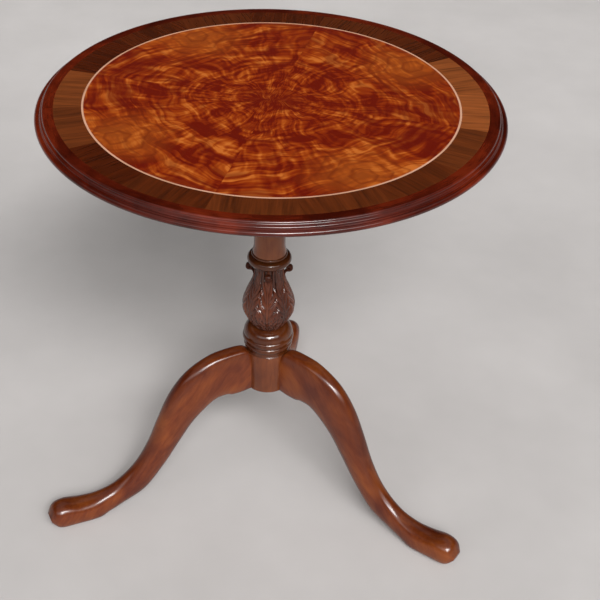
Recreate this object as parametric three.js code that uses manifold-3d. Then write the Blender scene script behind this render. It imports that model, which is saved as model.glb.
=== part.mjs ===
// Round tilt-top table on a turned and carved column with three cabriole legs.
// Millimetres, +Z up. The origin is on the floor, under the middle of the overall length and width.
// The back leg points along +Y and the top tips up about a line along X, near the front of its block.
// Every piece is drawn round the column's axis; the finished table is then moved to the origin.

import * as THREE from 'three';
import { mergeVertices } from 'three/addons/utils/BufferGeometryUtils.js';
import Module from 'manifold-3d';

const wasm = await Module();
wasm.setup();

// ---- Fits -------------------------------------------------------------------------------------
const fitGap = 0.3; // around tenons, tongues, plates and other seated pieces
const glueLine = 0.15; // between neighbouring veneers
const pivotGap = 0.2; // all round a turned pivot in its bearer
const restGap = 0.5; // between the top and the block that it rests on
const sideGap = 1.5; // between the block and each bearer
const screwGap = 0.2; // round a screw in its hole
const cutSpare = 1; // how far a cutting shape passes through a face, or a joined one runs into its neighbour

// ---- Table top --------------------------------------------------------------------------------
const tableHeight = 745;
const topThickness = 20;
const veneerThickness = 1;
const stringingRadius = 284; // middle of the light line
const stringingWidth = 3;
const crossbandWidth = 41.5;
const crossbandCount = 8;
const veneerLeafCount = 4;
const veneerTurn = -9; // degrees from +X to the first joint of the veneers
const borderWidth = 14.5; // flat rim between the crossbanding and the arris
const topSegments = 80;

// Members of the moulded edge, from the arris down
const ovoloWidth = 2.2;
const ovoloDrop = 3;
const quirkDepth = 0.8;
const ogeeWidth = 4.8;
const ogeeDrop = 4.6;
const ogeeTurn = 0.6; // share of its width and drop where the ogee's round meets its hollow
const ogeeRound = 0.3; // share of the drop that shapes the round
const ogeeHollow = 0.2; // share of the width and drop that shapes the hollow
const edgeBeadRadius = 4.2;
const edgeBeadStep = 3.2; // how far the bead's middle stands outside the end of the ogee
const edgeBeadArc = [-55, 125]; // degrees
const edgeBaseInset = 6.4;

// ---- Pivot block, bearers and their fixings ---------------------------------------------------
const blockWidth = 150;
const blockDepth = 140;
const blockThickness = 26;
const pivotRadius = 8;
const bearerWidth = 24;
const bearerDepth = 32;
const bearerLength = 500;
const bearerEndTaper = 60;
const bearerEndDepth = 14;
const bearerScrewPlaces = [-190, 20, 190];
const bearerScrewLength = 32;
const bearerScrewRecess = 14;
const screwHead = 8;
const screwShank = 4;
const screwHeadDepth = 2.2;
const screwRim = 0.3; // upright rim of a screw's head
const screwEdge = 1; // least metal or room beside a screw's head
const pivotRoot = 2; // how far a pivot runs into the block

// ---- Column -----------------------------------------------------------------------------------
const columnSegments = 32;
const hubBottom = 203.5;
const hubRadius = 39;
const hubHeight = 75;
const hubEase = 2; // rounding of the hub's lower edge
const coveDepth = 1.8;
const coveHeight = 8;
const lowerRingHeight = 10;
const ringStep = 0.7; // how far the rings' springing stands outside the cove
const lowerRingBulge = 3.6;
const upperRingHeight = 13;
const upperRingBulge = 5.4;
const rimRadius = 41.5;
const rimHeight = 1.2;
const rimEase = 0.5;
const cushionHeight = 17;
const cushionInset = 16;
const vaseFootFillet = 1.5;
const vaseHeight = 119;
const vaseFootRadius = 28;
const vaseBellyRadius = 44.8;
const neckRadius = 24;
const collarUndercut = 5.3;
const collarTorusRadius = 31.2;
const collarTorusHeight = 13;
const collarTorusBulge = 5.4;
const collarBeadRadius = 27.7;
const collarBeadHeight = 5.2;
const collarBeadBulge = 2;
const shaftFlareHeight = 17.6;
const shaftFlareLean = 2;
const shaftFlareEase = 0.25; // shares of the flare's height that shape its two bends
const shaftFlareRise = 0.6;
const shaftFootRadius = 25.9;
const shaftHeadRadius = 24.6;
const capitalRadius = 33;
const capitalFlareHeight = 24;
const capitalFlareEase = 0.2;
const capitalHeight = 6.5;
const tenonRadius = 16;
const tenonChamfer = 1;
const wedgeThickness = 3;
const wedgeTaper = 1.2;

// Tips of the carved leaves, which curl out under the collar
const leafCount = 4;
const leafTurn = -87; // degrees from +X to the first leaf
const leafTipWidth = 10;
const leafTipRadius = 5.1;
const leafTipReach = 33.7; // from the column's axis to the middle of a curl
const leafTipDrop = 6; // from the top of the vase down to the middle of a curl
const leafStemRoot = 2; // how far a stem runs into the neck and into the collar over it

// ---- Legs -------------------------------------------------------------------------------------
const legAngles = { leg_back: 90, leg_front_left: 210, leg_front_right: 330 };
const legReach = 406; // from the column's axis to the toe
const kneeHeight = 286;
const legWidth = 38; // across the knee
const legRingPoints = 18;
const stepsPerStation = 2;
const tongueLength = 18;
const tongueRootWidth = 13;
const tongueTipWidth = 19;
const tongueHeight = 62;
const tongueOverlap = 6; // how far the tongue's blank runs into the leg

// ---- Brace under the hub ----------------------------------------------------------------------
const braceThickness = 2.5;
const braceArmWidth = 20;
const braceReach = 64;
const braceScrewRadius = 53;
const braceScrewLength = 19;

// ---- Catch under the top ----------------------------------------------------------------------
const catchWidth = 34;
const catchLength = 48;
const catchBase = 4;
const catchStart = 6; // from the back of the block to the catch
const boltWidth = 12;
const boltThickness = 5;
const boltTravel = 12;
const boltStart = 3.2; // from the back of the block to the drawn bolt's tip
const strapLength = 6;
const strapWall = 2;
const strapInset = 6;
const knobStemRadius = 3;
const knobRadius = 6;
const knobSpigotRadius = 2;
const knobGap = 1; // between the knob and the straps
const catchScrewLength = 12;
const strikeWidth = 34;
const strikeHeight = 16;
const strikeThickness = 1.6;
const strikeScrewLength = 14;
const mortiseSpare = 2; // beyond the shot bolt's tip

// ---- Levels and places worked out from the sizes above ----------------------------------------
const coreTop = tableHeight - veneerThickness;
const topUnderside = tableHeight - topThickness;
const blockTop = topUnderside - restGap;
const blockBottom = blockTop - blockThickness;
const pivotHeight = blockTop - blockThickness / 2;
const pivotY = -(blockDepth / 2 - blockThickness / 2);
const bearerX = blockWidth / 2 + sideGap + bearerWidth / 2;
const stringingInner = stringingRadius - stringingWidth / 2;
const stringingOuter = stringingRadius + stringingWidth / 2;
const crossbandOuter = stringingOuter + glueLine + crossbandWidth;
const edgeInner = crossbandOuter + glueLine;
const arrisRadius = edgeInner + borderWidth;
const ogeeStart = arrisRadius + ovoloWidth - quirkDepth;
const ogeeEnd = ogeeStart + ogeeWidth;
const topRadius = ogeeEnd + edgeBeadStep + edgeBeadRadius;
const columnY = (topRadius - legReach) / 2;
const hubTop = hubBottom + hubHeight;
const ringsBottom = hubTop + coveHeight;
const ringsMiddle = ringsBottom + lowerRingHeight;
const ringsTop = ringsMiddle + upperRingHeight;
const vaseFoot = ringsTop + rimHeight + cushionHeight + vaseFootFillet;
const vaseTop = vaseFoot + vaseHeight;
const collarBottom = vaseTop + collarUndercut;
const collarMiddle = collarBottom + collarTorusHeight;
const collarTop = collarMiddle + collarBeadHeight;
const catchY = blockDepth / 2 + catchStart;
const boltTop = topUnderside - catchBase - fitGap;
const boltMiddle = boltTop - boltThickness / 2;
const boltTip = blockDepth / 2 + boltStart;
const boltLength = catchY + catchLength - boltTip;
const frontStrap = catchY + strapInset;
const backStrap = catchY + catchLength - strapInset - strapLength;
const knobY = backStrap - fitGap - knobStemRadius;
const strikeMiddle = blockTop - restGap - strikeHeight / 2;

// ---- Finishes ---------------------------------------------------------------------------------
const finish = (color, roughness, metalness = 0) => ({ color, roughness, metalness });
const finishes = {
  figured: finish(0x9a4a1a, 0.18),
  crossband: finish(0x5c3114, 0.2),
  boxwood: finish(0xd3a586, 0.3),
  mahogany: finish(0x6a2a18, 0.22),
  secondary: finish(0x7b5233, 0.6),
  brass: finish(0xb08d45, 0.35, 1),
  steel: finish(0x6d6a66, 0.4, 1),
};

// ---- Solids -----------------------------------------------------------------------------------
const degrees = (angle) => (angle * Math.PI) / 180;

/** A closed solid for cutting and joining, from a three.js geometry. */
function toSolid(geometry) {
  const bare = geometry.clone();
  bare.deleteAttribute('normal');
  bare.deleteAttribute('uv');
  const merged = mergeVertices(bare, 1e-4);
  return new wasm.Manifold(new wasm.Mesh({
    numProp: 3,
    vertProperties: new Float32Array(merged.attributes.position.array),
    triVerts: new Uint32Array(merged.index.array),
  }));
}

/** A three.js geometry from a solid. */
function toGeometry(solid) {
  const mesh = solid.getMesh();
  const geometry = new THREE.BufferGeometry();
  geometry.setAttribute('position', new THREE.BufferAttribute(mesh.vertProperties, 3));
  geometry.setIndex(new THREE.BufferAttribute(mesh.triVerts, 1));
  geometry.computeVertexNormals();
  return geometry;
}

const join = (...pieces) => toGeometry(pieces.map(toSolid).reduce((all, piece) => all.add(piece)));
const cut = (body, ...tools) => toGeometry(
  tools.map(toSolid).reduce((left, tool) => left.subtract(tool), toSolid(body)),
);

/** A box between two corners. */
function box([x0, y0, z0], [x1, y1, z1]) {
  const geometry = new THREE.BoxGeometry(x1 - x0, y1 - y0, z1 - z0);
  return geometry.translate((x0 + x1) / 2, (y0 + y1) / 2, (z0 + z1) / 2);
}

/** A solid turned about Z from [radius, height] points that run up from the axis back to it. */
function turned(points, segments, turn = 0) {
  const profile = points.map(([radius, height]) => new THREE.Vector2(radius, height));
  return new THREE.LatheGeometry(profile, segments).rotateX(Math.PI / 2).rotateZ(turn);
}

/** A flat shape in X and Y, raised between two heights. */
function plate(shape, bottom, top, curveSegments = 12) {
  const options = { depth: top - bottom, bevelEnabled: false, curveSegments };
  return new THREE.ExtrudeGeometry(shape, options).translate(0, 0, bottom);
}

/** A shape drawn in Y and Z, given a width along X about its middle. */
function slab(shape, middle, width, curveSegments = 12) {
  const options = { depth: width, bevelEnabled: false, curveSegments };
  const geometry = new THREE.ExtrudeGeometry(shape, options);
  const yzx = new THREE.Matrix4().set(0, 0, 1, 0, 1, 0, 0, 0, 0, 1, 0, 0, 0, 0, 0, 1);
  return geometry.applyMatrix4(yzx).translate(middle - width / 2, 0, 0);
}

/** A cylinder along X. */
function roundBar(radius, x0, x1, y, z, segments = 24) {
  const geometry = new THREE.CylinderGeometry(radius, radius, x1 - x0, segments);
  return geometry.rotateZ(Math.PI / 2).translate((x0 + x1) / 2, y, z);
}

/** A cylinder along Z. */
function post(radius, bottom, top, segments = columnSegments) {
  const geometry = new THREE.CylinderGeometry(radius, radius, top - bottom, segments);
  return geometry.rotateX(Math.PI / 2).translate(0, 0, (bottom + top) / 2);
}

/** A countersunk screw pointing up +Z with its head's face at z = 0; spare grows it into its hole. */
function screw(length, spare = 0) {
  const head = screwHead / 2 + spare;
  const shank = screwShank / 2 + spare;
  const face = -spare;
  return turned([
    [0, face],
    [head, face],
    [head, screwRim],
    [shank, screwHeadDepth + spare],
    [shank, length - screwShank / 2],
    [0, length + spare],
  ], 12);
}

const table = new THREE.Group();
const base = new THREE.Group();
const top = new THREE.Group();
table.add(base, top);

/** Adds one named piece to a group. */
function piece(group, name, geometry, look) {
  const mesh = new THREE.Mesh(geometry, new THREE.MeshStandardMaterial(look));
  mesh.name = name;
  group.add(mesh);
  return mesh;
}

// ---- The top: core, veneers, stringing and moulded edge ----------------------------------------

/** A sector of a ring between two angles, each straight side drawn back by half a glue line. */
function ringSector(inner, outer, start, end) {
  const half = glueLine / 2;
  const outerTrim = Math.asin(half / outer);
  const shape = new THREE.Shape();
  shape.absarc(0, 0, outer, start + outerTrim, end - outerTrim, false);
  if (inner > 0) {
    const innerTrim = Math.asin(half / inner);
    shape.absarc(0, 0, inner, end - innerTrim, start + innerTrim, true);
  } else {
    const middle = (start + end) / 2;
    const corner = half / Math.sin((end - start) / 2);
    shape.lineTo(corner * Math.cos(middle), corner * Math.sin(middle));
  }
  return shape;
}

/** Adds a ring of equal veneers, whose outer corners line up with those of the turned rings. */
function addVeneers(name, count, inner, outer, look) {
  const segments = topSegments / count;
  for (let index = 0; index < count; index += 1) {
    const start = degrees(veneerTurn) + (index * 2 * Math.PI) / count;
    const sector = ringSector(inner, outer, start, start + (2 * Math.PI) / count);
    // an arc takes two steps for each of its curve segments
    piece(top, `${name}_${index + 1}`, plate(sector, coreTop, tableHeight, segments / 2), look);
  }
}

/** The section of the moulded edge: flat border, ovolo, quirk, ogee, quirk, bead and base. */
function edgeSection() {
  const section = new THREE.Path();
  const ogeeTop = tableHeight - ovoloDrop - quirkDepth;
  const ogeeBottom = ogeeTop - ogeeDrop;
  const turnX = ogeeStart + ogeeWidth * ogeeTurn;
  const turnZ = ogeeBottom + ogeeDrop * ogeeTurn;
  const beadX = ogeeEnd + edgeBeadStep;
  const beadZ = ogeeBottom - quirkDepth - edgeBeadRadius;
  const [beadStart, beadEnd] = edgeBeadArc.map(degrees);
  section.moveTo(edgeInner, topUnderside);
  section.lineTo(topRadius - edgeBaseInset, topUnderside);
  section.absarc(beadX, beadZ, edgeBeadRadius, beadStart, beadEnd, false);
  section.lineTo(ogeeEnd - quirkDepth, ogeeBottom);
  section.quadraticCurveTo(ogeeEnd, ogeeBottom + ogeeDrop * ogeeRound, turnX, turnZ);
  section.quadraticCurveTo(
    ogeeStart + ogeeWidth * ogeeHollow, ogeeTop - ogeeDrop * ogeeHollow,
    ogeeStart, ogeeTop,
  );
  section.lineTo(ogeeStart, tableHeight - ovoloDrop);
  section.lineTo(arrisRadius + ovoloWidth, tableHeight - ovoloDrop);
  section.absellipse(arrisRadius, tableHeight - ovoloDrop, ovoloWidth, ovoloDrop, 0, Math.PI / 2, false);
  section.lineTo(edgeInner, tableHeight);
  section.closePath();
  return section.getPoints(3).map((point) => [point.x, point.y]);
}

const bearerSides = { bearer_left: -1, bearer_right: 1 };

/** Places a screw, or the hole for it, under a bearer. */
function bearerScrew(side, y, spare = 0) {
  const head = topUnderside - bearerDepth + bearerScrewRecess;
  return screw(bearerScrewLength, spare).translate(side * bearerX, y, head);
}

const catchScrewPlaces = [];
for (const x of [-1, 1]) {
  for (const y of [0, 1]) {
    const inset = screwHead / 2 + screwEdge;
    catchScrewPlaces.push([
      x * (catchWidth / 2 - inset),
      y ? catchY + catchLength - inset : catchY + inset,
    ]);
  }
}

/** Places a screw, or the hole for it, in the catch's base. */
function catchScrew([x, y], spare = 0) {
  return screw(catchScrewLength, spare).translate(x, y, topUnderside - catchBase);
}

const bearerScrewHoles = Object.values(bearerSides).flatMap(
  (side) => bearerScrewPlaces.map((y) => bearerScrew(side, y, screwGap)),
);
const catchScrewHoles = catchScrewPlaces.map((place) => catchScrew(place, screwGap));

const turn = degrees(veneerTurn);
const coreRadius = edgeInner - glueLine;
const core = turned(
  [[0, topUnderside], [coreRadius, topUnderside], [coreRadius, coreTop], [0, coreTop]],
  topSegments,
  turn,
);
piece(top, 'top_core', cut(core, ...bearerScrewHoles, ...catchScrewHoles), finishes.secondary);
addVeneers('field_veneer', veneerLeafCount, 0, stringingInner - glueLine, finishes.figured);
const stringing = [
  [stringingInner, coreTop],
  [stringingOuter, coreTop],
  [stringingOuter, tableHeight],
  [stringingInner, tableHeight],
  [stringingInner, coreTop],
];
piece(top, 'stringing', turned(stringing, topSegments, turn), finishes.boxwood);
addVeneers('crossband', crossbandCount, stringingOuter + glueLine, crossbandOuter, finishes.crossband);
piece(top, 'edge_moulding', turned(edgeSection(), topSegments, turn), finishes.mahogany);

// ---- Bearers under the top ---------------------------------------------------------------------

/** The side outline of a bearer: straight, with its ends tapering up to the top. */
function bearerOutline() {
  const half = bearerLength / 2;
  const outline = new THREE.Shape();
  outline.moveTo(-half, topUnderside);
  outline.lineTo(-half, topUnderside - bearerEndDepth);
  outline.lineTo(-half + bearerEndTaper, topUnderside - bearerDepth);
  outline.lineTo(half - bearerEndTaper, topUnderside - bearerDepth);
  outline.lineTo(half, topUnderside - bearerEndDepth);
  outline.lineTo(half, topUnderside);
  outline.closePath();
  return outline;
}

for (const [name, side] of Object.entries(bearerSides)) {
  const blank = slab(bearerOutline(), side * bearerX, bearerWidth);
  const reach = bearerWidth / 2 + sideGap;
  const pivotHole = roundBar(
    pivotRadius + pivotGap,
    side * bearerX - reach,
    side * bearerX + reach,
    pivotY,
    pivotHeight,
    32,
  );
  const holes = bearerScrewPlaces.flatMap((y) => {
    const bottom = topUnderside - bearerDepth;
    const top = bottom + bearerScrewRecess + screwGap;
    const recess = post(screwHead / 2 + screwEdge, bottom - cutSpare, top, 16);
    return [recess.translate(side * bearerX, y, 0), bearerScrew(side, y, screwGap)];
  });
  piece(top, name, cut(blank, pivotHole, ...holes), finishes.secondary);
  bearerScrewPlaces.forEach((y, index) => {
    piece(top, `${name}_screw_${index + 1}`, bearerScrew(side, y), finishes.steel);
  });
}

// ---- Catch: base with two straps, sliding bolt and its knob ------------------------------------

const boltSlot = boltWidth / 2 + fitGap;
const strapOuter = boltSlot + strapWall;
const strapBottom = boltTop - boltThickness - fitGap - strapWall;
const catchBaseBottom = topUnderside - catchBase;
const straps = [frontStrap, backStrap].map(
  (y) => box([-strapOuter, y, strapBottom], [strapOuter, y + strapLength, catchBaseBottom + cutSpare]),
);
const boltChannel = box(
  [-boltSlot, catchY - cutSpare, boltTop - boltThickness - fitGap],
  [boltSlot, catchY + catchLength + cutSpare, catchBaseBottom],
);
const catchBlank = box(
  [-catchWidth / 2, catchY, catchBaseBottom],
  [catchWidth / 2, catchY + catchLength, topUnderside],
);
piece(top, 'catch_plate', cut(join(catchBlank, ...straps), boltChannel, ...catchScrewHoles), finishes.brass);
catchScrewPlaces.forEach((place, index) => {
  piece(top, `catch_screw_${index + 1}`, catchScrew(place), finishes.brass);
});

const boltBottom = boltTop - boltThickness;
const boltBlank = box([-boltWidth / 2, boltTip, boltBottom], [boltWidth / 2, boltTip + boltLength, boltTop]);
const spigotHole = post(knobSpigotRadius + screwGap, boltBottom - cutSpare, boltTop + cutSpare, 16);
spigotHole.translate(0, knobY, 0);
piece(top, 'catch_bolt', cut(boltBlank, spigotHole), finishes.brass);

const knobMiddle = strapBottom - knobGap - Math.sqrt(knobRadius ** 2 - knobStemRadius ** 2);
const knobProfile = new THREE.Path();
knobProfile.absarc(0, knobMiddle, knobRadius, -Math.PI / 2, Math.acos(knobStemRadius / knobRadius), false);
knobProfile.lineTo(knobStemRadius, boltBottom);
knobProfile.lineTo(knobSpigotRadius, boltBottom);
knobProfile.lineTo(knobSpigotRadius, boltTop - fitGap);
knobProfile.lineTo(0, boltTop - fitGap);
const knobPoints = knobProfile.getPoints(4).map((point) => [Math.max(point.x, 0), point.y]);
piece(top, 'catch_knob', turned(knobPoints, 16).translate(0, knobY, 0), finishes.brass);

// ---- Block with its two turned pivots, and the strike that takes the bolt ----------------------

/** The block's side outline: its upper front corner is rounded about the pivots. */
function blockOutline() {
  const outline = new THREE.Shape();
  outline.moveTo(-blockDepth / 2, blockBottom);
  outline.lineTo(blockDepth / 2, blockBottom);
  outline.lineTo(blockDepth / 2, blockTop);
  outline.absarc(pivotY, pivotHeight, blockThickness / 2, Math.PI / 2, Math.PI, false);
  outline.closePath();
  return outline;
}

/** Places a screw, or the hole for it, in the strike, pointing forward into the block. */
function strikeScrew(side, spare = 0) {
  const x = side * (strikeWidth / 2 - screwHead / 2 - screwEdge);
  const face = blockDepth / 2 + strikeThickness;
  return screw(strikeScrewLength, spare).rotateX(Math.PI / 2).translate(x, face, strikeMiddle);
}

const pivotReach = blockWidth / 2 + sideGap + bearerWidth - fitGap;
const pivots = [-1, 1].map((side) => {
  const ends = [side * (blockWidth / 2 - pivotRoot), side * pivotReach].sort((a, b) => a - b);
  return roundBar(pivotRadius, ends[0], ends[1], pivotY, pivotHeight, 32);
});
const tenonHole = post(tenonRadius + fitGap, blockBottom - cutSpare, blockTop + cutSpare);
const mortiseHalf = boltWidth / 2 + 2 * fitGap;
const mortiseDepth = boltTravel - boltStart + mortiseSpare;
const mortise = box(
  [-mortiseHalf, blockDepth / 2 - mortiseDepth, boltBottom - 2 * fitGap],
  [mortiseHalf, blockDepth / 2 + strikeThickness + cutSpare, boltTop + 2 * fitGap],
);
const strikeScrewHoles = [-1, 1].map((side) => strikeScrew(side, screwGap));
const blockBlank = join(slab(blockOutline(), 0, blockWidth, 8), ...pivots);
piece(base, 'pivot_block', cut(blockBlank, tenonHole, mortise, ...strikeScrewHoles), finishes.secondary);

const strikeBlank = box(
  [-strikeWidth / 2, blockDepth / 2, strikeMiddle - strikeHeight / 2],
  [strikeWidth / 2, blockDepth / 2 + strikeThickness, strikeMiddle + strikeHeight / 2],
);
piece(base, 'strike_plate', cut(strikeBlank, mortise, ...strikeScrewHoles), finishes.brass);
[-1, 1].forEach((side, index) => {
  piece(base, `strike_screw_${index + 1}`, strikeScrew(side), finishes.brass);
});

// ---- Column: hub, rings, vase, collar, shaft and wedged tenon ----------------------------------

// Outline of the vase: height as a share of the vase, swell from neck (0) to belly (1)
const vaseOutline = [
  [0.054, 0.41],
  [0.133, 0.65],
  [0.235, 0.91],
  [0.349, 1],
  [0.464, 0.83],
  [0.604, 0.53],
  [0.722, 0.25],
  [0.864, 0.06],
  [1, 0],
];

/** The section of the column, up from the middle of its foot and back to the axis at the tenon's head. */
function columnSection() {
  const section = new THREE.Path();
  const ringRoot = hubRadius - coveDepth + ringStep;
  const shaftFoot = collarTop + shaftFlareHeight;
  const capitalBottom = blockBottom - capitalHeight;
  const swell = vaseBellyRadius - neckRadius;
  const addRing = (radius, bottom, top, bulge) => section.absellipse(
    radius, (bottom + top) / 2, bulge, (top - bottom) / 2, -Math.PI / 2, Math.PI / 2,
  );
  section.moveTo(0, hubBottom);
  section.lineTo(hubRadius - hubEase, hubBottom);
  section.lineTo(hubRadius, hubBottom + hubEase);
  section.lineTo(hubRadius, hubTop);
  section.lineTo(hubRadius - coveDepth, hubTop + coveDepth);
  section.lineTo(hubRadius - coveDepth, ringsBottom);
  addRing(ringRoot, ringsBottom, ringsMiddle, lowerRingBulge);
  addRing(ringRoot, ringsMiddle, ringsTop, upperRingBulge);
  section.lineTo(rimRadius, ringsTop + rimEase);
  section.lineTo(rimRadius, ringsTop + rimHeight);
  section.absellipse(
    rimRadius - cushionInset, ringsTop + rimHeight, cushionInset, cushionHeight, 0, Math.PI / 2,
  );
  section.lineTo(vaseFootRadius, vaseFoot);
  section.splineThru(vaseOutline.map(
    ([height, share]) => new THREE.Vector2(neckRadius + share * swell, vaseFoot + height * vaseHeight),
  ));
  addRing(collarTorusRadius, collarBottom, collarMiddle, collarTorusBulge);
  addRing(collarBeadRadius, collarMiddle, collarTop, collarBeadBulge);
  section.bezierCurveTo(
    shaftFootRadius + shaftFlareLean, collarTop + shaftFlareHeight * shaftFlareEase,
    shaftFootRadius, collarTop + shaftFlareHeight * shaftFlareRise,
    shaftFootRadius, shaftFoot,
  );
  section.lineTo(shaftHeadRadius, capitalBottom - capitalFlareHeight);
  section.quadraticCurveTo(
    shaftHeadRadius, capitalBottom - capitalFlareHeight * capitalFlareEase,
    capitalRadius, capitalBottom,
  );
  section.lineTo(capitalRadius, blockBottom);
  section.lineTo(tenonRadius, blockBottom);
  section.lineTo(tenonRadius, blockTop - fitGap - tenonChamfer);
  section.lineTo(tenonRadius - tenonChamfer, blockTop - fitGap);
  section.lineTo(0, blockTop - fitGap);
  return section.getPoints(2).map((point) => [point.x, point.y]);
}

/** The wedge in the tenon, or with spare the kerf that takes it: thin at the bottom, thick at the top. */
function wedge(spare = 0) {
  const thick = wedgeThickness / 2 + spare;
  const thin = thick - wedgeTaper / 2;
  const tip = blockBottom - spare;
  const head = blockTop - fitGap + spare;
  const outline = new THREE.Shape();
  outline.moveTo(-thin, tip);
  outline.lineTo(thin, tip);
  outline.lineTo(thick, head);
  outline.lineTo(-thick, head);
  outline.closePath();
  return slab(outline, 0, 2 * (tenonRadius - tenonChamfer + 2 * spare));
}

/** The tip of a carved leaf along +Y: its stem fills the corner under the collar and curls down. */
function leafTip() {
  const curlZ = vaseTop - leafTipDrop;
  const stemTop = collarBottom + leafStemRoot;
  const root = neckRadius - leafStemRoot;
  const outline = new THREE.Shape();
  outline.moveTo(root, curlZ);
  outline.quadraticCurveTo(
    neckRadius + leafStemRoot, curlZ + leafTipRadius,
    leafTipReach, curlZ + leafTipRadius / 2,
  );
  outline.absarc(leafTipReach, curlZ, leafTipRadius, Math.PI, 2.5 * Math.PI, false);
  outline.quadraticCurveTo(leafTipReach - leafTipRadius / 2, stemTop, neckRadius + leafStemRoot, stemTop);
  outline.lineTo(root, stemTop);
  outline.closePath();
  return slab(outline, 0, leafTipWidth, 6);
}

/** The dovetail tongue of a leg along +X, or with spare the socket in the hub that takes it. */
function tongue(spare = 0) {
  const inner = hubRadius - tongueLength - spare;
  const outer = hubRadius + tongueOverlap;
  const flare = (tongueTipWidth - tongueRootWidth) / 2 / tongueLength;
  const tip = tongueTipWidth / 2 + spare;
  const root = tip - flare * (outer - inner);
  const outline = new THREE.Shape();
  outline.moveTo(inner, -tip);
  outline.lineTo(outer, -root);
  outline.lineTo(outer, root);
  outline.lineTo(inner, tip);
  outline.closePath();
  return plate(outline, hubBottom - spare, hubBottom + tongueHeight + spare);
}

/** Places a screw, or the hole for it, in the brace: at its middle or out along one arm. */
function braceScrew(radius, angle, spare = 0) {
  const geometry = screw(braceScrewLength, spare);
  const place = degrees(angle);
  return geometry.translate(radius * Math.cos(place), radius * Math.sin(place), hubBottom - braceThickness);
}

const sockets = Object.values(legAngles).map((angle) => tongue(fitGap).rotateZ(degrees(angle)));
const leafTips = Array.from({ length: leafCount }, (_, index) => {
  const angle = degrees(leafTurn) + (index * 2 * Math.PI) / leafCount;
  return leafTip().rotateZ(angle - Math.PI / 2);
});
const columnBlank = join(turned(columnSection(), columnSegments, degrees(90)), ...leafTips);
piece(
  base,
  'column',
  cut(columnBlank, ...sockets, wedge(screwGap), braceScrew(0, 0, screwGap)),
  finishes.mahogany,
);
piece(base, 'tenon_wedge', wedge(), finishes.mahogany);

// ---- Cabriole legs -----------------------------------------------------------------------------

// Stations down the leg, each [ridge, underside, width, squareness]. Ridge and underside are
// [outward, upward]: outward is 0 at the hub's face and 1 at the toe; upward is -1 on the floor,
// 0 at the hub's lower end and 1 on top of the knee. Width is a share of the knee's width.
const legStations = [
  [[-0.017, 0.795], [-0.017, -0.014], 0.76, 5],
  [[0.013, 0.983], [0.032, -0.03], 0.81, 5],
  [[0.105, 0.995], [0.08, -0.034], 0.86, 4.5],
  [[0.197, 0.921], [0.111, -0.026], 0.95, 4],
  [[0.303, 0.658], [0.173, -0.057], 1, 3.4],
  [[0.382, 0.235], [0.272, -0.218], 1, 3],
  [[0.441, -0.126], [0.347, -0.407], 0.98, 2.7],
  [[0.498, -0.372], [0.43, -0.627], 0.93, 2.5],
  [[0.567, -0.568], [0.53, -0.84], 0.87, 2.4],
  [[0.663, -0.723], [0.643, -0.936], 0.88, 2.4],
  [[0.759, -0.79], [0.712, -0.981], 1.02, 2.4],
  [[0.847, -0.798], [0.761, -1.01], 1.18, 2.5],
  [[0.924, -0.773], [0.872, -1.01], 1.26, 2.4],
  [[0.973, -0.797], [0.954, -1.005], 1.14, 2.3],
  [[1, -0.875], [0.991, -0.946], 0.59, 2.2],
];

/** A point of the leg's side view in millimetres, from its place in shares. */
function legPoint([outward, upward]) {
  const x = hubRadius + outward * (legReach - hubRadius);
  const z = upward < 0 ? hubBottom * (1 + upward) : hubBottom + upward * (kneeHeight - hubBottom);
  return new THREE.Vector2(x, z);
}

/** A leg along +X: rounded sections lofted between the ridge and the underside of its side view. */
function legLoft() {
  const ridge = new THREE.SplineCurve(legStations.map((station) => legPoint(station[0])));
  const under = new THREE.SplineCurve(legStations.map((station) => legPoint(station[1])));
  const girth = new THREE.SplineCurve(
    legStations.map(([, , widthShare, squareness]) => new THREE.Vector2(widthShare, squareness)),
  );
  const rings = (legStations.length - 1) * stepsPerStation + 1;
  const positions = [];
  const ends = [];
  for (let ring = 0; ring < rings; ring += 1) {
    const along = ring / (rings - 1);
    const high = ridge.getPoint(along);
    const low = under.getPoint(along);
    const { x: widthShare, y: squareness } = girth.getPoint(along);
    const middle = high.clone().add(low).multiplyScalar(0.5);
    const rise = high.clone().sub(low).multiplyScalar(0.5);
    for (let step = 0; step < legRingPoints; step += 1) {
      const angle = (step / legRingPoints) * 2 * Math.PI;
      const across = Math.sign(Math.cos(angle)) * Math.abs(Math.cos(angle)) ** (2 / squareness);
      const up = Math.sign(Math.sin(angle)) * Math.abs(Math.sin(angle)) ** (2 / squareness);
      positions.push(middle.x + rise.x * up, (across * widthShare * legWidth) / 2, middle.y + rise.y * up);
    }
    ends.push(middle);
  }
  const indices = [];
  for (let ring = 0; ring < rings - 1; ring += 1) {
    for (let step = 0; step < legRingPoints; step += 1) {
      const next = (step + 1) % legRingPoints;
      const a = ring * legRingPoints + step;
      const b = ring * legRingPoints + next;
      indices.push(a, b, a + legRingPoints, b, b + legRingPoints, a + legRingPoints);
    }
  }
  const last = (rings - 1) * legRingPoints;
  const rootCentre = positions.length / 3;
  positions.push(ends[0].x, 0, ends[0].y, ends[rings - 1].x, 0, ends[rings - 1].y);
  for (let step = 0; step < legRingPoints; step += 1) {
    const next = (step + 1) % legRingPoints;
    indices.push(rootCentre, next, step, rootCentre + 1, last + step, last + next);
  }
  const geometry = new THREE.BufferGeometry();
  geometry.setAttribute('position', new THREE.Float32BufferAttribute(positions, 3));
  geometry.setIndex(indices);
  return geometry;
}

/** The seat for one arm of the brace, in the underside of a leg along +X. */
function braceSeat() {
  const half = braceArmWidth / 2 + fitGap;
  return box([0, -half, hubBottom - 3 * braceThickness], [braceReach + fitGap, half, hubBottom]);
}

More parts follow.
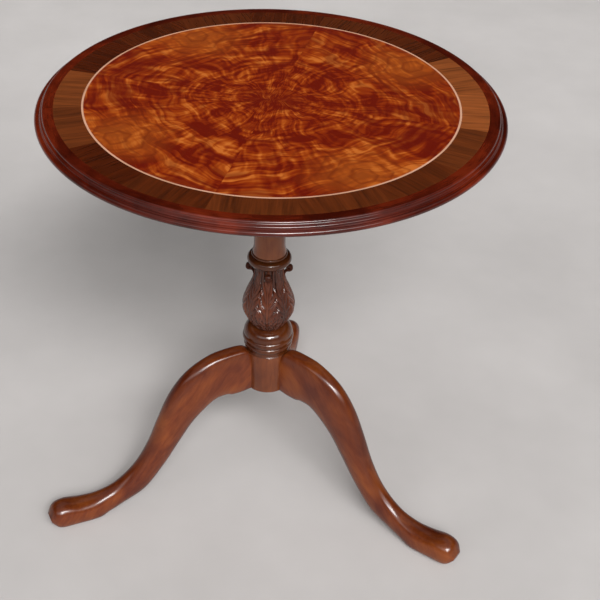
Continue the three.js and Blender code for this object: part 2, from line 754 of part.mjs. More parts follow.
const hubClearance = post(hubRadius + fitGap, 0, 2 * kneeHeight);
const ringsRadius = hubRadius - coveDepth + ringStep + Math.max(lowerRingBulge, upperRingBulge);
const ringClearance = post(ringsRadius + fitGap, ringsBottom - fitGap, 2 * kneeHeight);
const floor = box([-cutSpare, -legReach, -kneeHeight], [2 * legReach, legReach, 0]);

const shapedLeg = cut(legLoft(), hubClearance, ringClearance, floor);
const legWithTongue = cut(join(shapedLeg, tongue()), braceSeat(), braceScrew(braceScrewRadius, 0, screwGap));
for (const [name, angle] of Object.entries(legAngles)) {
  const stand = new THREE.Group();
  stand.rotation.z = degrees(angle);
  base.add(stand);
  piece(stand, name, legWithTongue.clone(), finishes.mahogany);
}

// ---- Brace plate under the hub -----------------------------------------------------------------

/** One arm of the brace with a rounded end. */
function braceArm() {
  const half = braceArmWidth / 2;
  const outline = new THREE.Shape();
  outline.moveTo(0, -half);
  outline.lineTo(braceReach - half, -half);
  outline.absarc(braceReach - half, 0, half, -Math.PI / 2, Math.PI / 2, false);
  outline.lineTo(0, half);
  outline.closePath();
  return plate(outline, hubBottom - braceThickness, hubBottom);
}

const braceArms = Object.values(legAngles).map((angle) => braceArm().rotateZ(degrees(angle)));
const braceScrews = [[0, 0], ...Object.values(legAngles).map((angle) => [braceScrewRadius, angle])];
const braceHoles = braceScrews.map(([radius, angle]) => braceScrew(radius, angle, screwGap));
piece(base, 'brace_plate', cut(join(...braceArms), ...braceHoles), finishes.steel);
braceScrews.forEach(([radius, angle], index) => {
  piece(base, `brace_screw_${index + 1}`, braceScrew(radius, angle), finishes.steel);
});

table.position.y = columnY;

export default table;
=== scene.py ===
"""Round tilt-top table: figured and crossbanded top, carved column and three cabriole legs."""

from __future__ import annotations

import logging
import math
from dataclasses import dataclass, field
from enum import Enum
from typing import Any, Sequence

import bmesh
import bpy
import numpy as np
import numpy.typing as npt
from mathutils import Matrix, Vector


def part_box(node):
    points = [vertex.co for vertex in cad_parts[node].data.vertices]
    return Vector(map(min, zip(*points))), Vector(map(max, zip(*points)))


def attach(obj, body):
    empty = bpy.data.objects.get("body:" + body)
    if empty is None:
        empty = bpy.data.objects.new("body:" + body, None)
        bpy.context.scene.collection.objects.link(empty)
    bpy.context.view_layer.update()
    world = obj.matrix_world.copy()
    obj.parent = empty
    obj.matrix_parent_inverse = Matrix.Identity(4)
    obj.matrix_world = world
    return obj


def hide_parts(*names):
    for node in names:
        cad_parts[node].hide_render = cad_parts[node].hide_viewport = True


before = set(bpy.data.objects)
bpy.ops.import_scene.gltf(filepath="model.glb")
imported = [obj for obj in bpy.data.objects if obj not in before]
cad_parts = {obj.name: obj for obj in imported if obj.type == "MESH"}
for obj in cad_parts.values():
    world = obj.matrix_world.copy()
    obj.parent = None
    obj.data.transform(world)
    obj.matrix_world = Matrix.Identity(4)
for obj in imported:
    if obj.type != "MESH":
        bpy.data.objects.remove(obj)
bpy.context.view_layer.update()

Points = npt.NDArray[np.float64]
Material = bpy.types.Material
Node = bpy.types.Node
NodeTree = bpy.types.NodeTree
Object = bpy.types.Object
Socket = bpy.types.NodeSocket
MM = 0.001
# The column's axis, round which every shape below is drawn, in metres
AXIS = (np.array(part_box("column")[0]) + np.array(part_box("column")[1])) / 2 * [1.0, 1.0, 0.0]
LOG = logging.getLogger("tilt_top_table")


# ---- Curves and surfaces ------------------------------------------------------------------------


def arc(
    centre: tuple[float, float], radii: tuple[float, float], start: float, end: float, count: int
) -> Points:
    """Points on an ellipse: the centre plus the radii times the cosine and sine of even angles."""
    angle = np.radians(np.linspace(start, end, count))
    return np.stack([np.cos(angle), np.sin(angle)], axis=1) * radii + centre


def chain(*parts: Points | Sequence[Sequence[float]]) -> Points:
    """One outline from several stretches, without repeated points.

    Args:
        parts: Stretches of points, each going on from the one before.

    Returns:
        All their points in order.
    """
    joined = np.concatenate([np.asarray(part, float).reshape(-1, 2) for part in parts])
    step = np.linalg.norm(np.diff(joined, axis=0), axis=1)
    keep = np.concatenate([[True], step > 1e-6])
    return joined[keep]


def smooth_curve(points: Sequence[Sequence[float]], count: int) -> Points:
    """A Catmull-Rom curve through all the points.

    Between two points, each coordinate is the cubic that passes both with the slope from
    the point before to the point after; the ends repeat their own point.

    Args:
        points: Rows of coordinates, of any width.
        count: Number of points wanted on the curve.

    Returns:
        An array of count rows, evenly spread over the stretches.
    """
    knots = np.asarray(points, float)
    padded = np.concatenate([knots[:1], knots, knots[-1:]])
    place = np.linspace(0, len(knots) - 1, count)
    first = np.minimum(place.astype(int), len(knots) - 2)
    t = (place - first)[:, None]
    p0, p1, p2, p3 = (padded[first + shift] for shift in range(4))
    return (
        p1
        + 0.5 * t * (p2 - p0)
        + t**2 * (p0 - 2.5 * p1 + 2 * p2 - 0.5 * p3)
        + t**3 * (1.5 * (p1 - p2) + 0.5 * (p3 - p0))
    )


def bezier(corners: Sequence[Sequence[float]], count: int) -> Points:
    """A Bezier curve.

    Each point is the sum of the corners times the Bernstein polynomials of its share of
    the curve.

    Args:
        corners: Rows of two coordinates.
        count: Number of points, evenly spread over the share.

    Returns:
        An array of count rows of two coordinates.
    """
    t = np.linspace(0, 1, count)[:, None]
    last = len(corners) - 1
    terms = [math.comb(last, k) * t**k * (1 - t) ** (last - k) * np.asarray(c) for k, c in enumerate(corners)]
    return np.sum(terms, axis=0)


def rounded(angle: Points, power: float | Points) -> tuple[Points, Points]:
    """Cosine and sine of the angle, raised to the power with their signs kept."""
    cos, sin = np.cos(angle), np.sin(angle)
    return np.sign(cos) * np.abs(cos) ** power, np.sign(sin) * np.abs(sin) ** power


def revolve(profile: Points, turns: Points) -> Points:
    """A surface of revolution about the Z axis.

    The point at angle a and profile row (r, z) is (r cos a, r sin a, z).

    Args:
        profile: Rows of radius and height.
        turns: Angles in radians, one for each row of the grid.

    Returns:
        A grid of points: angles by profile rows by three.
    """
    radius, height = profile[:, 0], profile[:, 1]
    x = np.cos(turns)[:, None] * radius
    y = np.sin(turns)[:, None] * radius
    z = np.broadcast_to(height, x.shape)
    return np.stack([x, y, z], axis=-1)


def turn_about_z(points: Points, degrees: float) -> Points:
    """The points turned about the Z axis.

    Args:
        points: Rows of X, Y and Z, in an array of any shape.
        degrees: Angle, anticlockwise from above.

    Returns:
        The turned points, in an array of the same shape.
    """
    angle = math.radians(degrees)
    cos, sin = math.cos(angle), math.sin(angle)
    return points @ np.array([[cos, sin, 0.0], [-sin, cos, 0.0], [0.0, 0.0, 1.0]])


@dataclass
class Surface:
    """A grid of points with the places that its wood is cut from."""

    points: Points  # Rows by columns by three, in millimetres
    grain: Points  # For each point its place in the timber: along the grain, across it, and through it
    # Whether the rows go round the axis, so that the last joins the first. If not, each row is a closed
    # section, and the first and last have a face
    turned: bool = False
    tone: float | Points = 0.5  # A shade from 0 to 1 for the whole surface, or one for each point

    def faces(self) -> tuple[npt.NDArray[np.int64], list[list[int]]]:
        """The quads of the grid and the end faces.

        The quad at (i, j) joins that point with its neighbours one row and one column on.

        Returns:
            An array of quads by four, and a list of end faces.
        """
        rows, columns = self.points.shape[:2]
        index = np.arange(rows * columns).reshape(rows, columns)
        down = np.roll(index, -1, axis=0)
        right = np.roll(index, -1, axis=1)
        both = np.roll(down, -1, axis=1)
        quads = np.stack([index, right, both, down], axis=-1)
        quads = quads[:, : columns - 1] if self.turned else quads[: rows - 1]
        caps = [] if self.turned else [index[0].tolist()[::-1], index[-1].tolist()]
        return quads.reshape(-1, 4), caps


def build(name: str, surfaces: Sequence[Surface], sharp: float = 35.0) -> Object:
    """Makes one object from several surfaces.

    Args:
        name: Name of the object.
        surfaces: Its surfaces, in millimetres.
        sharp: Edges that bend more than this many degrees stay sharp.

    Returns:
        The new object, linked to the scene, with outward faces and closed seams.
    """
    points, grain, quads, caps, tones, starts = [], [], [], [], [], []
    start = 0
    for surface in surfaces:
        starts.append(start)
        own_quads, own_caps = surface.faces()
        size = surface.points.shape[0] * surface.points.shape[1]
        points.append(surface.points.reshape(-1, 3) * MM + AXIS)
        grain.append(surface.grain.reshape(-1, 3) * MM)
        tones.append(np.broadcast_to(surface.tone, surface.points.shape[:2]).ravel())
        quads.append(own_quads + start)
        caps += [[vertex + start for vertex in cap] for cap in own_caps]
        start += size
    mesh = bpy.data.meshes.new(name)
    mesh.from_pydata(np.concatenate(points), [], np.concatenate(quads).tolist() + caps)
    mesh.attributes.new("grain", "FLOAT_VECTOR", "POINT").data.foreach_set(
        "vector", np.concatenate(grain).astype(np.float32).ravel()
    )
    mesh.attributes.new("tone", "FLOAT", "POINT").data.foreach_set(
        "value", np.concatenate(tones).astype(np.float32)
    )
    shell = bmesh.new()
    shell.from_mesh(mesh)
    vertices = list(shell.verts)
    for first, last in zip(starts, starts[1:] + [len(vertices)]):
        bmesh.ops.remove_doubles(shell, verts=vertices[first:last], dist=1e-7)
    bmesh.ops.recalc_face_normals(shell, faces=shell.faces)
    shell.to_mesh(mesh)
    shell.free()
    mesh.polygons.foreach_set("use_smooth", np.ones(len(mesh.polygons), bool))
    mesh.set_sharp_from_angle(angle=math.radians(sharp))
    return add_object(name, mesh)


# ---- Node trees ---------------------------------------------------------------------------------


def to_linear(colour: str) -> tuple[float, float, float, float]:
    """A linear colour with full alpha.

    Args:
        colour: An sRGB hex string such as "#7a3b1e".

    Returns:
        Red, green, blue and alpha.
    """
    channels = [int(colour[i : i + 2], 16) / 255 for i in (1, 3, 5)]
    linear = [c / 12.92 if c <= 0.04045 else ((c + 0.055) / 1.055) ** 2.4 for c in channels]
    return (linear[0], linear[1], linear[2], 1.0)


def set_inputs(node: Node, inputs: dict[Any, Any]) -> None:
    """Gives the inputs of a node their values, or links them.

    Args:
        node: The node.
        inputs: Values or sockets for its inputs, by name or number.
    """
    for key, value in inputs.items():
        if isinstance(value, Socket):
            node.id_data.links.new(value, node.inputs[key])
        else:
            node.inputs[key].default_value = value


def add_node(
    tree: NodeTree,
    kind: str,
    settings: dict[str, Any] | None = None,
    inputs: dict[Any, Any] | None = None,
) -> Node:
    """Adds a node with its settings and links.

    Args:
        tree: Node tree that takes it.
        kind: Type of node, such as "ShaderNodeTexNoise".
        settings: Its properties by name.
        inputs: Values or sockets for its inputs, by name or number.

    Returns:
        The new node.
    """
    node = tree.nodes.new(kind)
    for key, value in (settings or {}).items():
        setattr(node, key, value)
    set_inputs(node, inputs or {})
    return node


@dataclass
class Recipe:
    """Short ways to chain the nodes of one material."""

    tree: NodeTree  # The material's node tree

    def add(self, kind: str, settings: dict[str, Any] | None = None, **inputs: Any) -> Node:
        """Adds a node whose inputs are given by name."""
        return add_node(self.tree, kind, settings, inputs)

    def attribute(self, name: str, output: str) -> Socket:
        """One output of an Attribute node."""
        return self.add("ShaderNodeAttribute", {"attribute_name": name}).outputs[output]

    def object_place(self) -> Socket:
        """The place on the object, in metres."""
        return self.add("ShaderNodeTexCoord").outputs["Object"]

    def maths(self, operation: str, *values: float | Socket) -> Socket:
        """The result of a Math node on the values."""
        settings = {"operation": operation}
        return add_node(self.tree, "ShaderNodeMath", settings, dict(enumerate(values))).outputs[0]

    def vectors(self, operation: str, *values: Any) -> Node:
        """A Vector Math node on the values."""
        settings = {"operation": operation}
        return add_node(self.tree, "ShaderNodeVectorMath", settings, dict(enumerate(values)))

    def times(self, *values: float | Socket) -> Socket:
        """The product of the first two values, plus the third if there is one."""
        return self.maths("MULTIPLY" if len(values) == 2 else "MULTIPLY_ADD", *values)

    def polar(self, place: Socket) -> tuple[Socket, Socket, Socket]:
        """Splits a place into polar coordinates.

        Args:
            place: The place.

        Returns:
            Its distance and angle from the origin in X and Y, and its Z.
        """
        x, y, z = self.add("ShaderNodeSeparateXYZ", None, Vector=place).outputs
        squares = self.times(x, x, self.times(y, y))
        return self.maths("SQRT", squares), self.maths("ARCTAN2", y, x), z

    def noise(
        self, place: Socket, scale: float, detail: float = 2.0, rough: float = 0.5, swirl: float = 0.0
    ) -> Socket:
        """The value of a Noise texture with so many lumps to the metre."""
        inputs = {"Vector": place, "Scale": scale, "Detail": detail, "Roughness": rough, "Distortion": swirl}
        return self.add("ShaderNodeTexNoise", None, **inputs).outputs["Fac"]

    def stretch(self, place: Socket, scale: Sequence[float], shift: Sequence[float] = (0, 0, 0)) -> Socket:
        """The place with each coordinate scaled and shifted."""
        inputs = {"Vector": place, "Scale": tuple(scale), "Location": tuple(shift)}
        return self.add("ShaderNodeMapping", None, **inputs).outputs[0]

    def ramp(self, value: Socket, stops: Sequence[tuple[float, Any]]) -> Socket:
        """A colour ramp.

        Args:
            value: Where to read the ramp, from 0 to 1.
            stops: For each stop its place, and its colour as an sRGB hex string or a grey level.

        Returns:
            The colour.
        """
        node = add_node(self.tree, "ShaderNodeValToRGB", None, {"Fac": value})
        ramp = node.color_ramp
        while len(ramp.elements) < len(stops):
            ramp.elements.new(0.5)
        for element, (place, colour) in zip(ramp.elements, sorted(stops, key=lambda stop: stop[0])):
            element.position = place
            element.color = to_linear(colour) if isinstance(colour, str) else (colour, colour, colour, 1.0)
        return node.outputs["Color"]

    def mix(self, share: float | Socket, first: Any, second: Any, blend: str = "MIX") -> Socket:
        """A mix of two colours."""
        settings = {"data_type": "RGBA", "blend_type": blend}
        return add_node(self.tree, "ShaderNodeMix", settings, {0: share, 6: first, 7: second}).outputs[2]

    def bump(self, height: Socket, distance: float) -> Socket:
        """A bumped normal from a height between 0 and 1 and its depth in millimetres."""
        return self.add("ShaderNodeBump", None, Height=height, Distance=distance * MM).outputs[0]


def add_object(name: str, data: Any) -> Object:
    """Adds an object to the scene.

    Args:
        name: Its name.
        data: Its mesh, camera or light.

    Returns:
        The new object.
    """
    thing = bpy.data.objects.new(name, data)
    bpy.context.scene.collection.objects.link(thing)
    return thing


def new_material(name: str) -> tuple[Material, Recipe, Node]:
    """An empty material.

    Args:
        name: Name of the material.

    Returns:
        The material, the recipe on its node tree, and its surface shader.
    """
    material = bpy.data.materials.new(name)
    material.use_nodes = True
    tree = material.node_tree
    tree.nodes.clear()
    shader = add_node(tree, "ShaderNodeBsdfPrincipled")
    add_node(tree, "ShaderNodeOutputMaterial", None, {"Surface": shader.outputs[0]})
    return material, Recipe(tree), shader


class Source(Enum):
    """Where a finish reads its place in the timber from."""

    GRAIN = "grain"
    OBJECT = "object"


# ---- Finishes -----------------------------------------------------------------------------------


@dataclass(frozen=True)
class PolishedTimber:
    """Mahogany, stained red-brown and French polished.

    The stain gives an even brown, soft darker streaks and faint pores follow the grain, and
    the polish is a clear film that mirrors the room over a ground with no shine of its own.
    Where it is carved, dark wax lies in the hollows and the high places are rubbed paler. The same tone ramp
    also paints shade on the upper faces of the legs and painted light on the column's shaft.
    """

    name: str  # Name of the material
    dark: str  # Colour of the dark growth
    middle: str  # Main colour
    light: str  # Colour of the pale growth
    streak_mm: float = 5.0  # Width of a streak across the grain
    patch_mm: float = 45.0  # Size of the slow change of shade
    pores: float = 0.14  # How dark the pores are
    polish: float = 0.7  # Strength of the clear film
    film: float = 0.12  # Roughness of the clear film
    wax_and_painted_light: float = 0.0  # How much the tone darkens or pales the colour: the carving's dark hollows and paler ridges, and painted shade and painted light on the legs and the shaft
    tooling: float = 0.0  # Depth of the marks left by the carving gouges, in millimetres

    def make(self) -> Material:
        """Builds the material.

        Returns:
            The new material.
        """
        material, recipe, shader = new_material(self.name)
        place = recipe.attribute("grain", "Vector")
        per_metre = 1000.0 / self.streak_mm
        streak = recipe.noise(recipe.stretch(place, (0.16, 1.0, 1.0)), per_metre, 2.0, 0.5, 0.6)
        fine = recipe.noise(recipe.stretch(place, (0.05, 1.0, 1.0), (3.1, 0, 0)), per_metre * 4.0)
        patch = recipe.noise(recipe.stretch(place, (0.5, 1.0, 1.0)), 1000.0 / self.patch_mm, 3.0, 0.55, 0.4)
        shade = recipe.times(streak, 0.22, recipe.times(patch, 0.78))
        colour = recipe.ramp(shade, [(0.36, self.dark), (0.5, self.middle), (0.64, self.light)])
        pores = recipe.ramp(fine, [(0.34, 0.5), (0.46, 1.0)])
        colour = recipe.mix(self.pores, colour, pores, "MULTIPLY")
        if self.wax_and_painted_light:
            # The tone scales the colour: dark wax and rubbed ridges on the carving, painted shade on the
            # legs' upper faces, painted light on the shaft
            tone = recipe.attribute("tone", "Fac")
            wax_and_painted_light_scale = recipe.ramp(tone, [(0.1, 0.25), (0.55, 0.8), (1.0, 1.6)])
            colour = recipe.mix(self.wax_and_painted_light, colour, wax_and_painted_light_scale, "MULTIPLY")
        if self.tooling:
            set_inputs(shader, {"Coat Normal": recipe.bump(recipe.noise(place, 330.0), self.tooling)})
        set_inputs(shader, {"Base Color": colour, "Roughness": 0.45, "Specular IOR Level": 0.0})
        set_inputs(shader, {"Coat Weight": self.polish, "Coat Roughness": self.film})
        return material


# The thick gloss polish of the field and the banding: a hard clear mirror over wood with hardly any shine
TOP_POLISH = {"Roughness": 0.5, "Specular IOR Level": 0.05, "Coat Weight": 1.0, "Coat Roughness": 0.03}


@dataclass(frozen=True)
class FiguredVeneer:
    """Crotch and burr veneer in matched leaves, under a thick gloss polish.

    Orange ground with wavy streaks that lie across the way to the middle and bend back at
    the joints, faint rings and maroon clouds further out, dark growth lines round a pale
    heart at each leaf's outer corner, a dark star where the leaves meet, and two pin knots.
    """

    name: str = "figured_mahogany_veneer"  # Name of the material
    # Colours from the deepest figure to the palest, each with its place on the scale
    shades: tuple[tuple[float, str], ...] = (
        (0.39, "#641202"),
        (0.44, "#762004"),
        (0.48, "#872d06"),
        (0.515, "#91390a"),
        (0.56, "#a64c14"),
        (0.61, "#bd6526"),
    )
    burr: str = "#5e1004"  # Colour of the maroon clouds
    line: str = "#661f05"  # Colour of the growth lines and knots
    heart: str = "#a5551a"  # Colour of the pale heart
    streak_mm: tuple[float, float] = (70.0, 9.5)  # Length and thickness of a streak
    heart_mm: float = 178.0  # Place of the heart's middle in its leaf, along both joints
    # Places of the pin knots from the middle of the top
    knots_mm: tuple[tuple[float, float], ...] = ((-154.0, -78.0), (-130.0, -117.0))

    def make(self) -> Material:
        """Builds the material.

        Returns:
            The new material.
        """
        material, recipe, shader = new_material(self.name)
        leaf = recipe.attribute("grain", "Vector")

        def drift(scale: float, reach: float) -> Socket:
            """The place in the leaf pushed about by a soft noise.

            Args:
                scale: Lumps of the noise to the metre.
                reach: How far the noise swings the place from end to end, in metres.

            Returns:
                The new place.
            """
            push = recipe.add("ShaderNodeTexNoise", None, Vector=leaf, Scale=scale, Detail=2.0)
            centred = recipe.vectors("SUBTRACT", push.outputs["Color"], (0.5, 0.5, 0.5)).outputs[0]
            return recipe.vectors("MULTIPLY_ADD", centred, (reach, reach, 0.0), leaf).outputs[0]

        radius, turn, depth = recipe.polar(drift(10.0, 0.075))
        beside = recipe.maths("ABSOLUTE", recipe.maths("SUBTRACT", turn, math.pi / 4))
        radius = recipe.times(radius, recipe.times(beside, -0.26, 1.2))
        arc_length = recipe.times(turn, 0.19)
        polar = recipe.add("ShaderNodeCombineXYZ", None, X=arc_length, Y=radius, Z=depth).outputs[0]

        layers = (  # share, size of a lump in mm, shift and swirl
            (0.34, (75.0, 42.0), (0, 0, 0), 0.0),
            (0.27, self.streak_mm, (7, 3, 0), 0.1),
            (0.28, (10.0, 46.0), (1, 9, 0), 0.1),
            (0.11, (16.0, 5.0), (4, 5, 0), 0.3),
        )
        shade: Any = 0.0
        for share, (long, thick), shift, swirl in layers:
            lumps = recipe.stretch(polar, (1 / long, 1 / thick, 1.0), shift)
            shade = recipe.times(recipe.noise(lumps, 1000.0, 1.0, 0.5, swirl), share, shade)
        rings = recipe.maths("FRACT", recipe.times(radius, 1000.0 / 13.0))
        rings = recipe.ramp(rings, [(0.0, 0.0), (0.16, 1.0), (0.9, 0.5), (1.0, 0.0)])
        outer = recipe.ramp(radius, [(0.08, 0.0), (0.19, 1.0)])
        rings = recipe.times(rings, recipe.times(outer, 0.035))
        shade = recipe.maths("ADD", rings, shade)
        shade = recipe.times(shade, 1.29, -0.192)
        colour = recipe.ramp(shade, self.shades)

        joints = recipe.times(recipe.ramp(beside, [(0.2, 0.1), (0.5, 1.0)]), outer)
        burr = recipe.noise(recipe.stretch(polar, (1.0, 1.6, 1.0), (1.7, 0.4, 0.0)), 22.0, 3.0, 0.5, 0.3)
        burr = recipe.ramp(recipe.times(joints, 0.12, burr), [(0.54, 0.0), (0.7, 1.0)])
        colour = recipe.mix(recipe.times(burr, 0.6), colour, to_linear(self.burr))

        colour = self.add_heart(recipe, drift(14.0, 0.036), colour)
        rays = recipe.noise(recipe.stretch(polar, (1.0, 0.12, 1.0)), 110.0, 2.0, 0.6, 0.4)
        star = recipe.times(rays, -0.075, radius)
        star = recipe.ramp(recipe.maths("ADD", star, 0.03), [(0.0, 1.0), (0.045, 0.0)])
        colour = recipe.mix(recipe.times(star, 0.55), colour, to_linear(self.burr))

        place = recipe.object_place()
        for x, y in self.knots_mm:
            knot = (x * MM + AXIS[0], y * MM + AXIS[1], TableTop.height * MM)
            apart = recipe.vectors("DISTANCE", place, knot).outputs["Value"]
            spot = recipe.ramp(apart, [(0.0022, 0.85), (0.0055, 0.0)])
            colour = recipe.mix(spot, colour, to_linear(self.line))

        set_inputs(shader, {"Base Color": colour} | TOP_POLISH)
        return material

    def add_heart(self, recipe: Recipe, leaf: Socket, colour: Socket) -> Socket:
        """Lays the pale heart and its growth lines over the figure.

        The lines are hexagons: the distance from the heart's middle is multiplied by the
        cosine of the angle from the nearest of six directions.

        Args:
            recipe: The material's recipe.
            leaf: Place in the leaf.
            colour: Colour of the figure.

        Returns:
            The colour with the heart.
        """
        middle = (-self.heart_mm * MM, -self.heart_mm * MM, 0.0)
        away, turn, _ = recipe.polar(recipe.stretch(leaf, (1.0, 1.0, 0.0), middle))
        nearest = recipe.maths("PINGPONG", turn, math.pi / 6)
        hexagon = recipe.times(away, recipe.maths("COSINE", nearest))
        pale = recipe.ramp(hexagon, [(0.02, 0.5), (0.085, 0.0)])
        colour = recipe.mix(pale, colour, to_linear(self.heart))
        growth = recipe.maths("FRACT", recipe.times(hexagon, 1000.0 / 21.0))
        growth = recipe.ramp(growth, [(0.6, 0.0), (0.86, 1.0), (0.93, 0.5), (1.0, 0.0)])
        growth = recipe.times(growth, recipe.ramp(hexagon, [(0.06, 1.0), (0.15, 0.0)]))
        return recipe.mix(recipe.times(growth, 0.55), colour, to_linear(self.line))


@dataclass(frozen=True)
class Crossbanding:
    """Straight-grained rosewood-brown banding laid across the edge, polished with the top.

    Narrow dark and light stripes run along the grain of each strip, and strips differ in tone.
    """

    name: str = "crossband_veneer"  # Name of the material
    dark: str = "#431602"  # Colour of the dark strips
    light: str = "#8a4a22"  # Colour of the strips that catch the light

    def make(self) -> Material:
        """Builds the material.

        Returns:
            The new material.
        """
        material, recipe, shader = new_material(self.name)
        place = recipe.attribute("grain", "Vector")
        tone = recipe.attribute("tone", "Fac")
        stripes = recipe.noise(recipe.stretch(place, (0.05, 1.0, 1.0)), 260.0, 3.0, 0.6, 0.1)
        broad = recipe.noise(recipe.stretch(place, (0.12, 1.0, 1.0)), 60.0, 2.0, 0.5)
        colour = recipe.mix(tone, to_linear(self.dark), to_linear(self.light))
        shade = recipe.times(stripes, 0.6, recipe.times(broad, 0.4))
        shade = recipe.ramp(shade, [(0.36, 0.55), (0.5, 0.95), (0.64, 1.3)])
        colour = recipe.mix(1.0, colour, shade, "MULTIPLY")
        set_inputs(shader, {"Base Color": colour} | TOP_POLISH)
        return material


@dataclass(frozen=True)
class PlainWood:
    """Timber with an even open grain: stringing, or the unpolished wood below the top."""

    name: str  # Name of the material
    dark: str  # Colour of the grain lines
    light: str  # Colour between them
    grain_mm: float = 2.5  # Spacing of the lines
    roughness: float = 0.6  # Roughness of the surface
    polish: float = 0.0  # Strength of a clear film
    axis: int = 1  # Which object axis the grain runs along
    source: Source = Source.OBJECT  # Where the place in the timber comes from

    def make(self) -> Material:
        """Builds the material.

        Returns:
            The new material.
        """
        material, recipe, shader = new_material(self.name)
        from_grain = self.source is Source.GRAIN
        place = recipe.attribute("grain", "Vector") if from_grain else recipe.object_place()
        scale = [1.0, 1.0, 1.0]
        scale[self.axis] = 0.04
        lines = recipe.noise(recipe.stretch(place, scale), 1000.0 / self.grain_mm, 3.0, 0.6, 0.2)
        cloud = recipe.noise(place, 12.0, 2.0)
        shade = recipe.times(lines, 0.7, recipe.times(cloud, 0.3))
        colour = recipe.ramp(shade, [(0.36, self.dark), (0.6, self.light)])
        set_inputs(shader, {"Base Color": colour, "Normal": recipe.bump(lines, 0.08)})
        set_inputs(shader, {"Roughness": self.roughness, "Coat Weight": self.polish, "Coat Roughness": 0.08})
        return material


@dataclass(frozen=True)
class WorkedMetal:
    """Brass, steel or iron with a worked and slightly soiled surface."""

    name: str  # Name of the material
    clean: str  # Colour where the metal is rubbed
    soiled: str  # Colour where it has dulled
    roughness: float = 0.32  # Roughness of the clean metal

    def make(self) -> Material:
        """Builds the material.

        Returns:
            The new material.
        """
        material, recipe, shader = new_material(self.name)
        place = recipe.object_place()
        spots = recipe.noise(place, 140.0, 4.0, 0.6)
        marks = recipe.noise(recipe.stretch(place, (0.1, 1.0, 1.0)), 1400.0, 2.0)
        colour = recipe.ramp(spots, [(0.38, self.soiled), (0.62, self.clean)])
        rough = recipe.times(spots, -0.2, self.roughness + 0.12)
        normal = recipe.bump(marks, 0.02)
        set_inputs(shader, {"Base Color": colour, "Roughness": rough, "Normal": normal, "Metallic": 1.0})
        return material


def made(finish: Any) -> Any:
    """A field that holds the material of a finish."""
    return field(default_factory=finish.make)


@dataclass
class Finishes:
    """All the finishes of the table, made once."""

    mahogany: Material = made(
        PolishedTimber(
            "polished_mahogany_leg", "#4d1b08", "#612a0f", "#733814", polish=0.84, film=0.21, wax_and_painted_light=1.0
        )
    )
    turned: Material = made(
        PolishedTimber(
            "polished_mahogany_turning", "#461e0d", "#562911", "#643315", polish=1.0, film=0.09, wax_and_painted_light=1.0
        )
    )
    edge: Material = made(
        PolishedTimber(
            "red_stained_edge", "#340a03", "#4a1306", "#641f0b", streak_mm=4.0, polish=0.95, film=0.13
        )
    )
    carving: Material = made(
        PolishedTimber(
            "carved_mahogany", "#38170b", "#482010", "#572a15", polish=1.0, film=0.07, wax_and_painted_light=0.9, tooling=0.2
        )
    )
    leaf_tip: Material = made(
        PolishedTimber("carved_leaf_tip", "#2f130a", "#3f1c10", "#4c2415", polish=0.35, film=0.28)
    )
    veneer: Material = made(FiguredVeneer())
    crossband: Material = made(Crossbanding())
    stringing: Material = made(
        PlainWood("boxwood_stringing", "#b98a6c", "#d6a489", 1.5, 0.35, 0.8, 0, Source.GRAIN)
    )
    carcase: Material = made(PlainWood("unpolished_carcase_wood", "#5d3b22", "#8a6340", 2.5, 0.62))
    brass: Material = made(WorkedMetal("aged_brass", "#c9a45c", "#8a6a35"))
    steel: Material = made(WorkedMetal("steel_screw", "#8b8883", "#5c5751", 0.35))
    iron: Material = made(WorkedMetal("black_iron", "#4b4743", "#2c2927", 0.5))


def dress(piece: Object, material: Material) -> None:
    """Gives all of a piece one material.

    Args:
        piece: The object.
        material: Its material.
    """
    if not piece.material_slots:
        piece.data.materials.append(material)
    for slot in piece.material_slots:
        slot.link = "OBJECT"
        slot.material = material


def seat(piece: Object, material: Material, body: str, node: str) -> None:
    """Dresses a piece and lets it ride on a body in place of a CAD node.

    Args:
        piece: The object.
        material: Its material.
        body: Body that carries it.
        node: The CAD node that it stands for.
    """
    dress(piece, material)
    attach(piece, body)
    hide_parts(node)


# ---- The table top ------------------------------------------------------------------------------


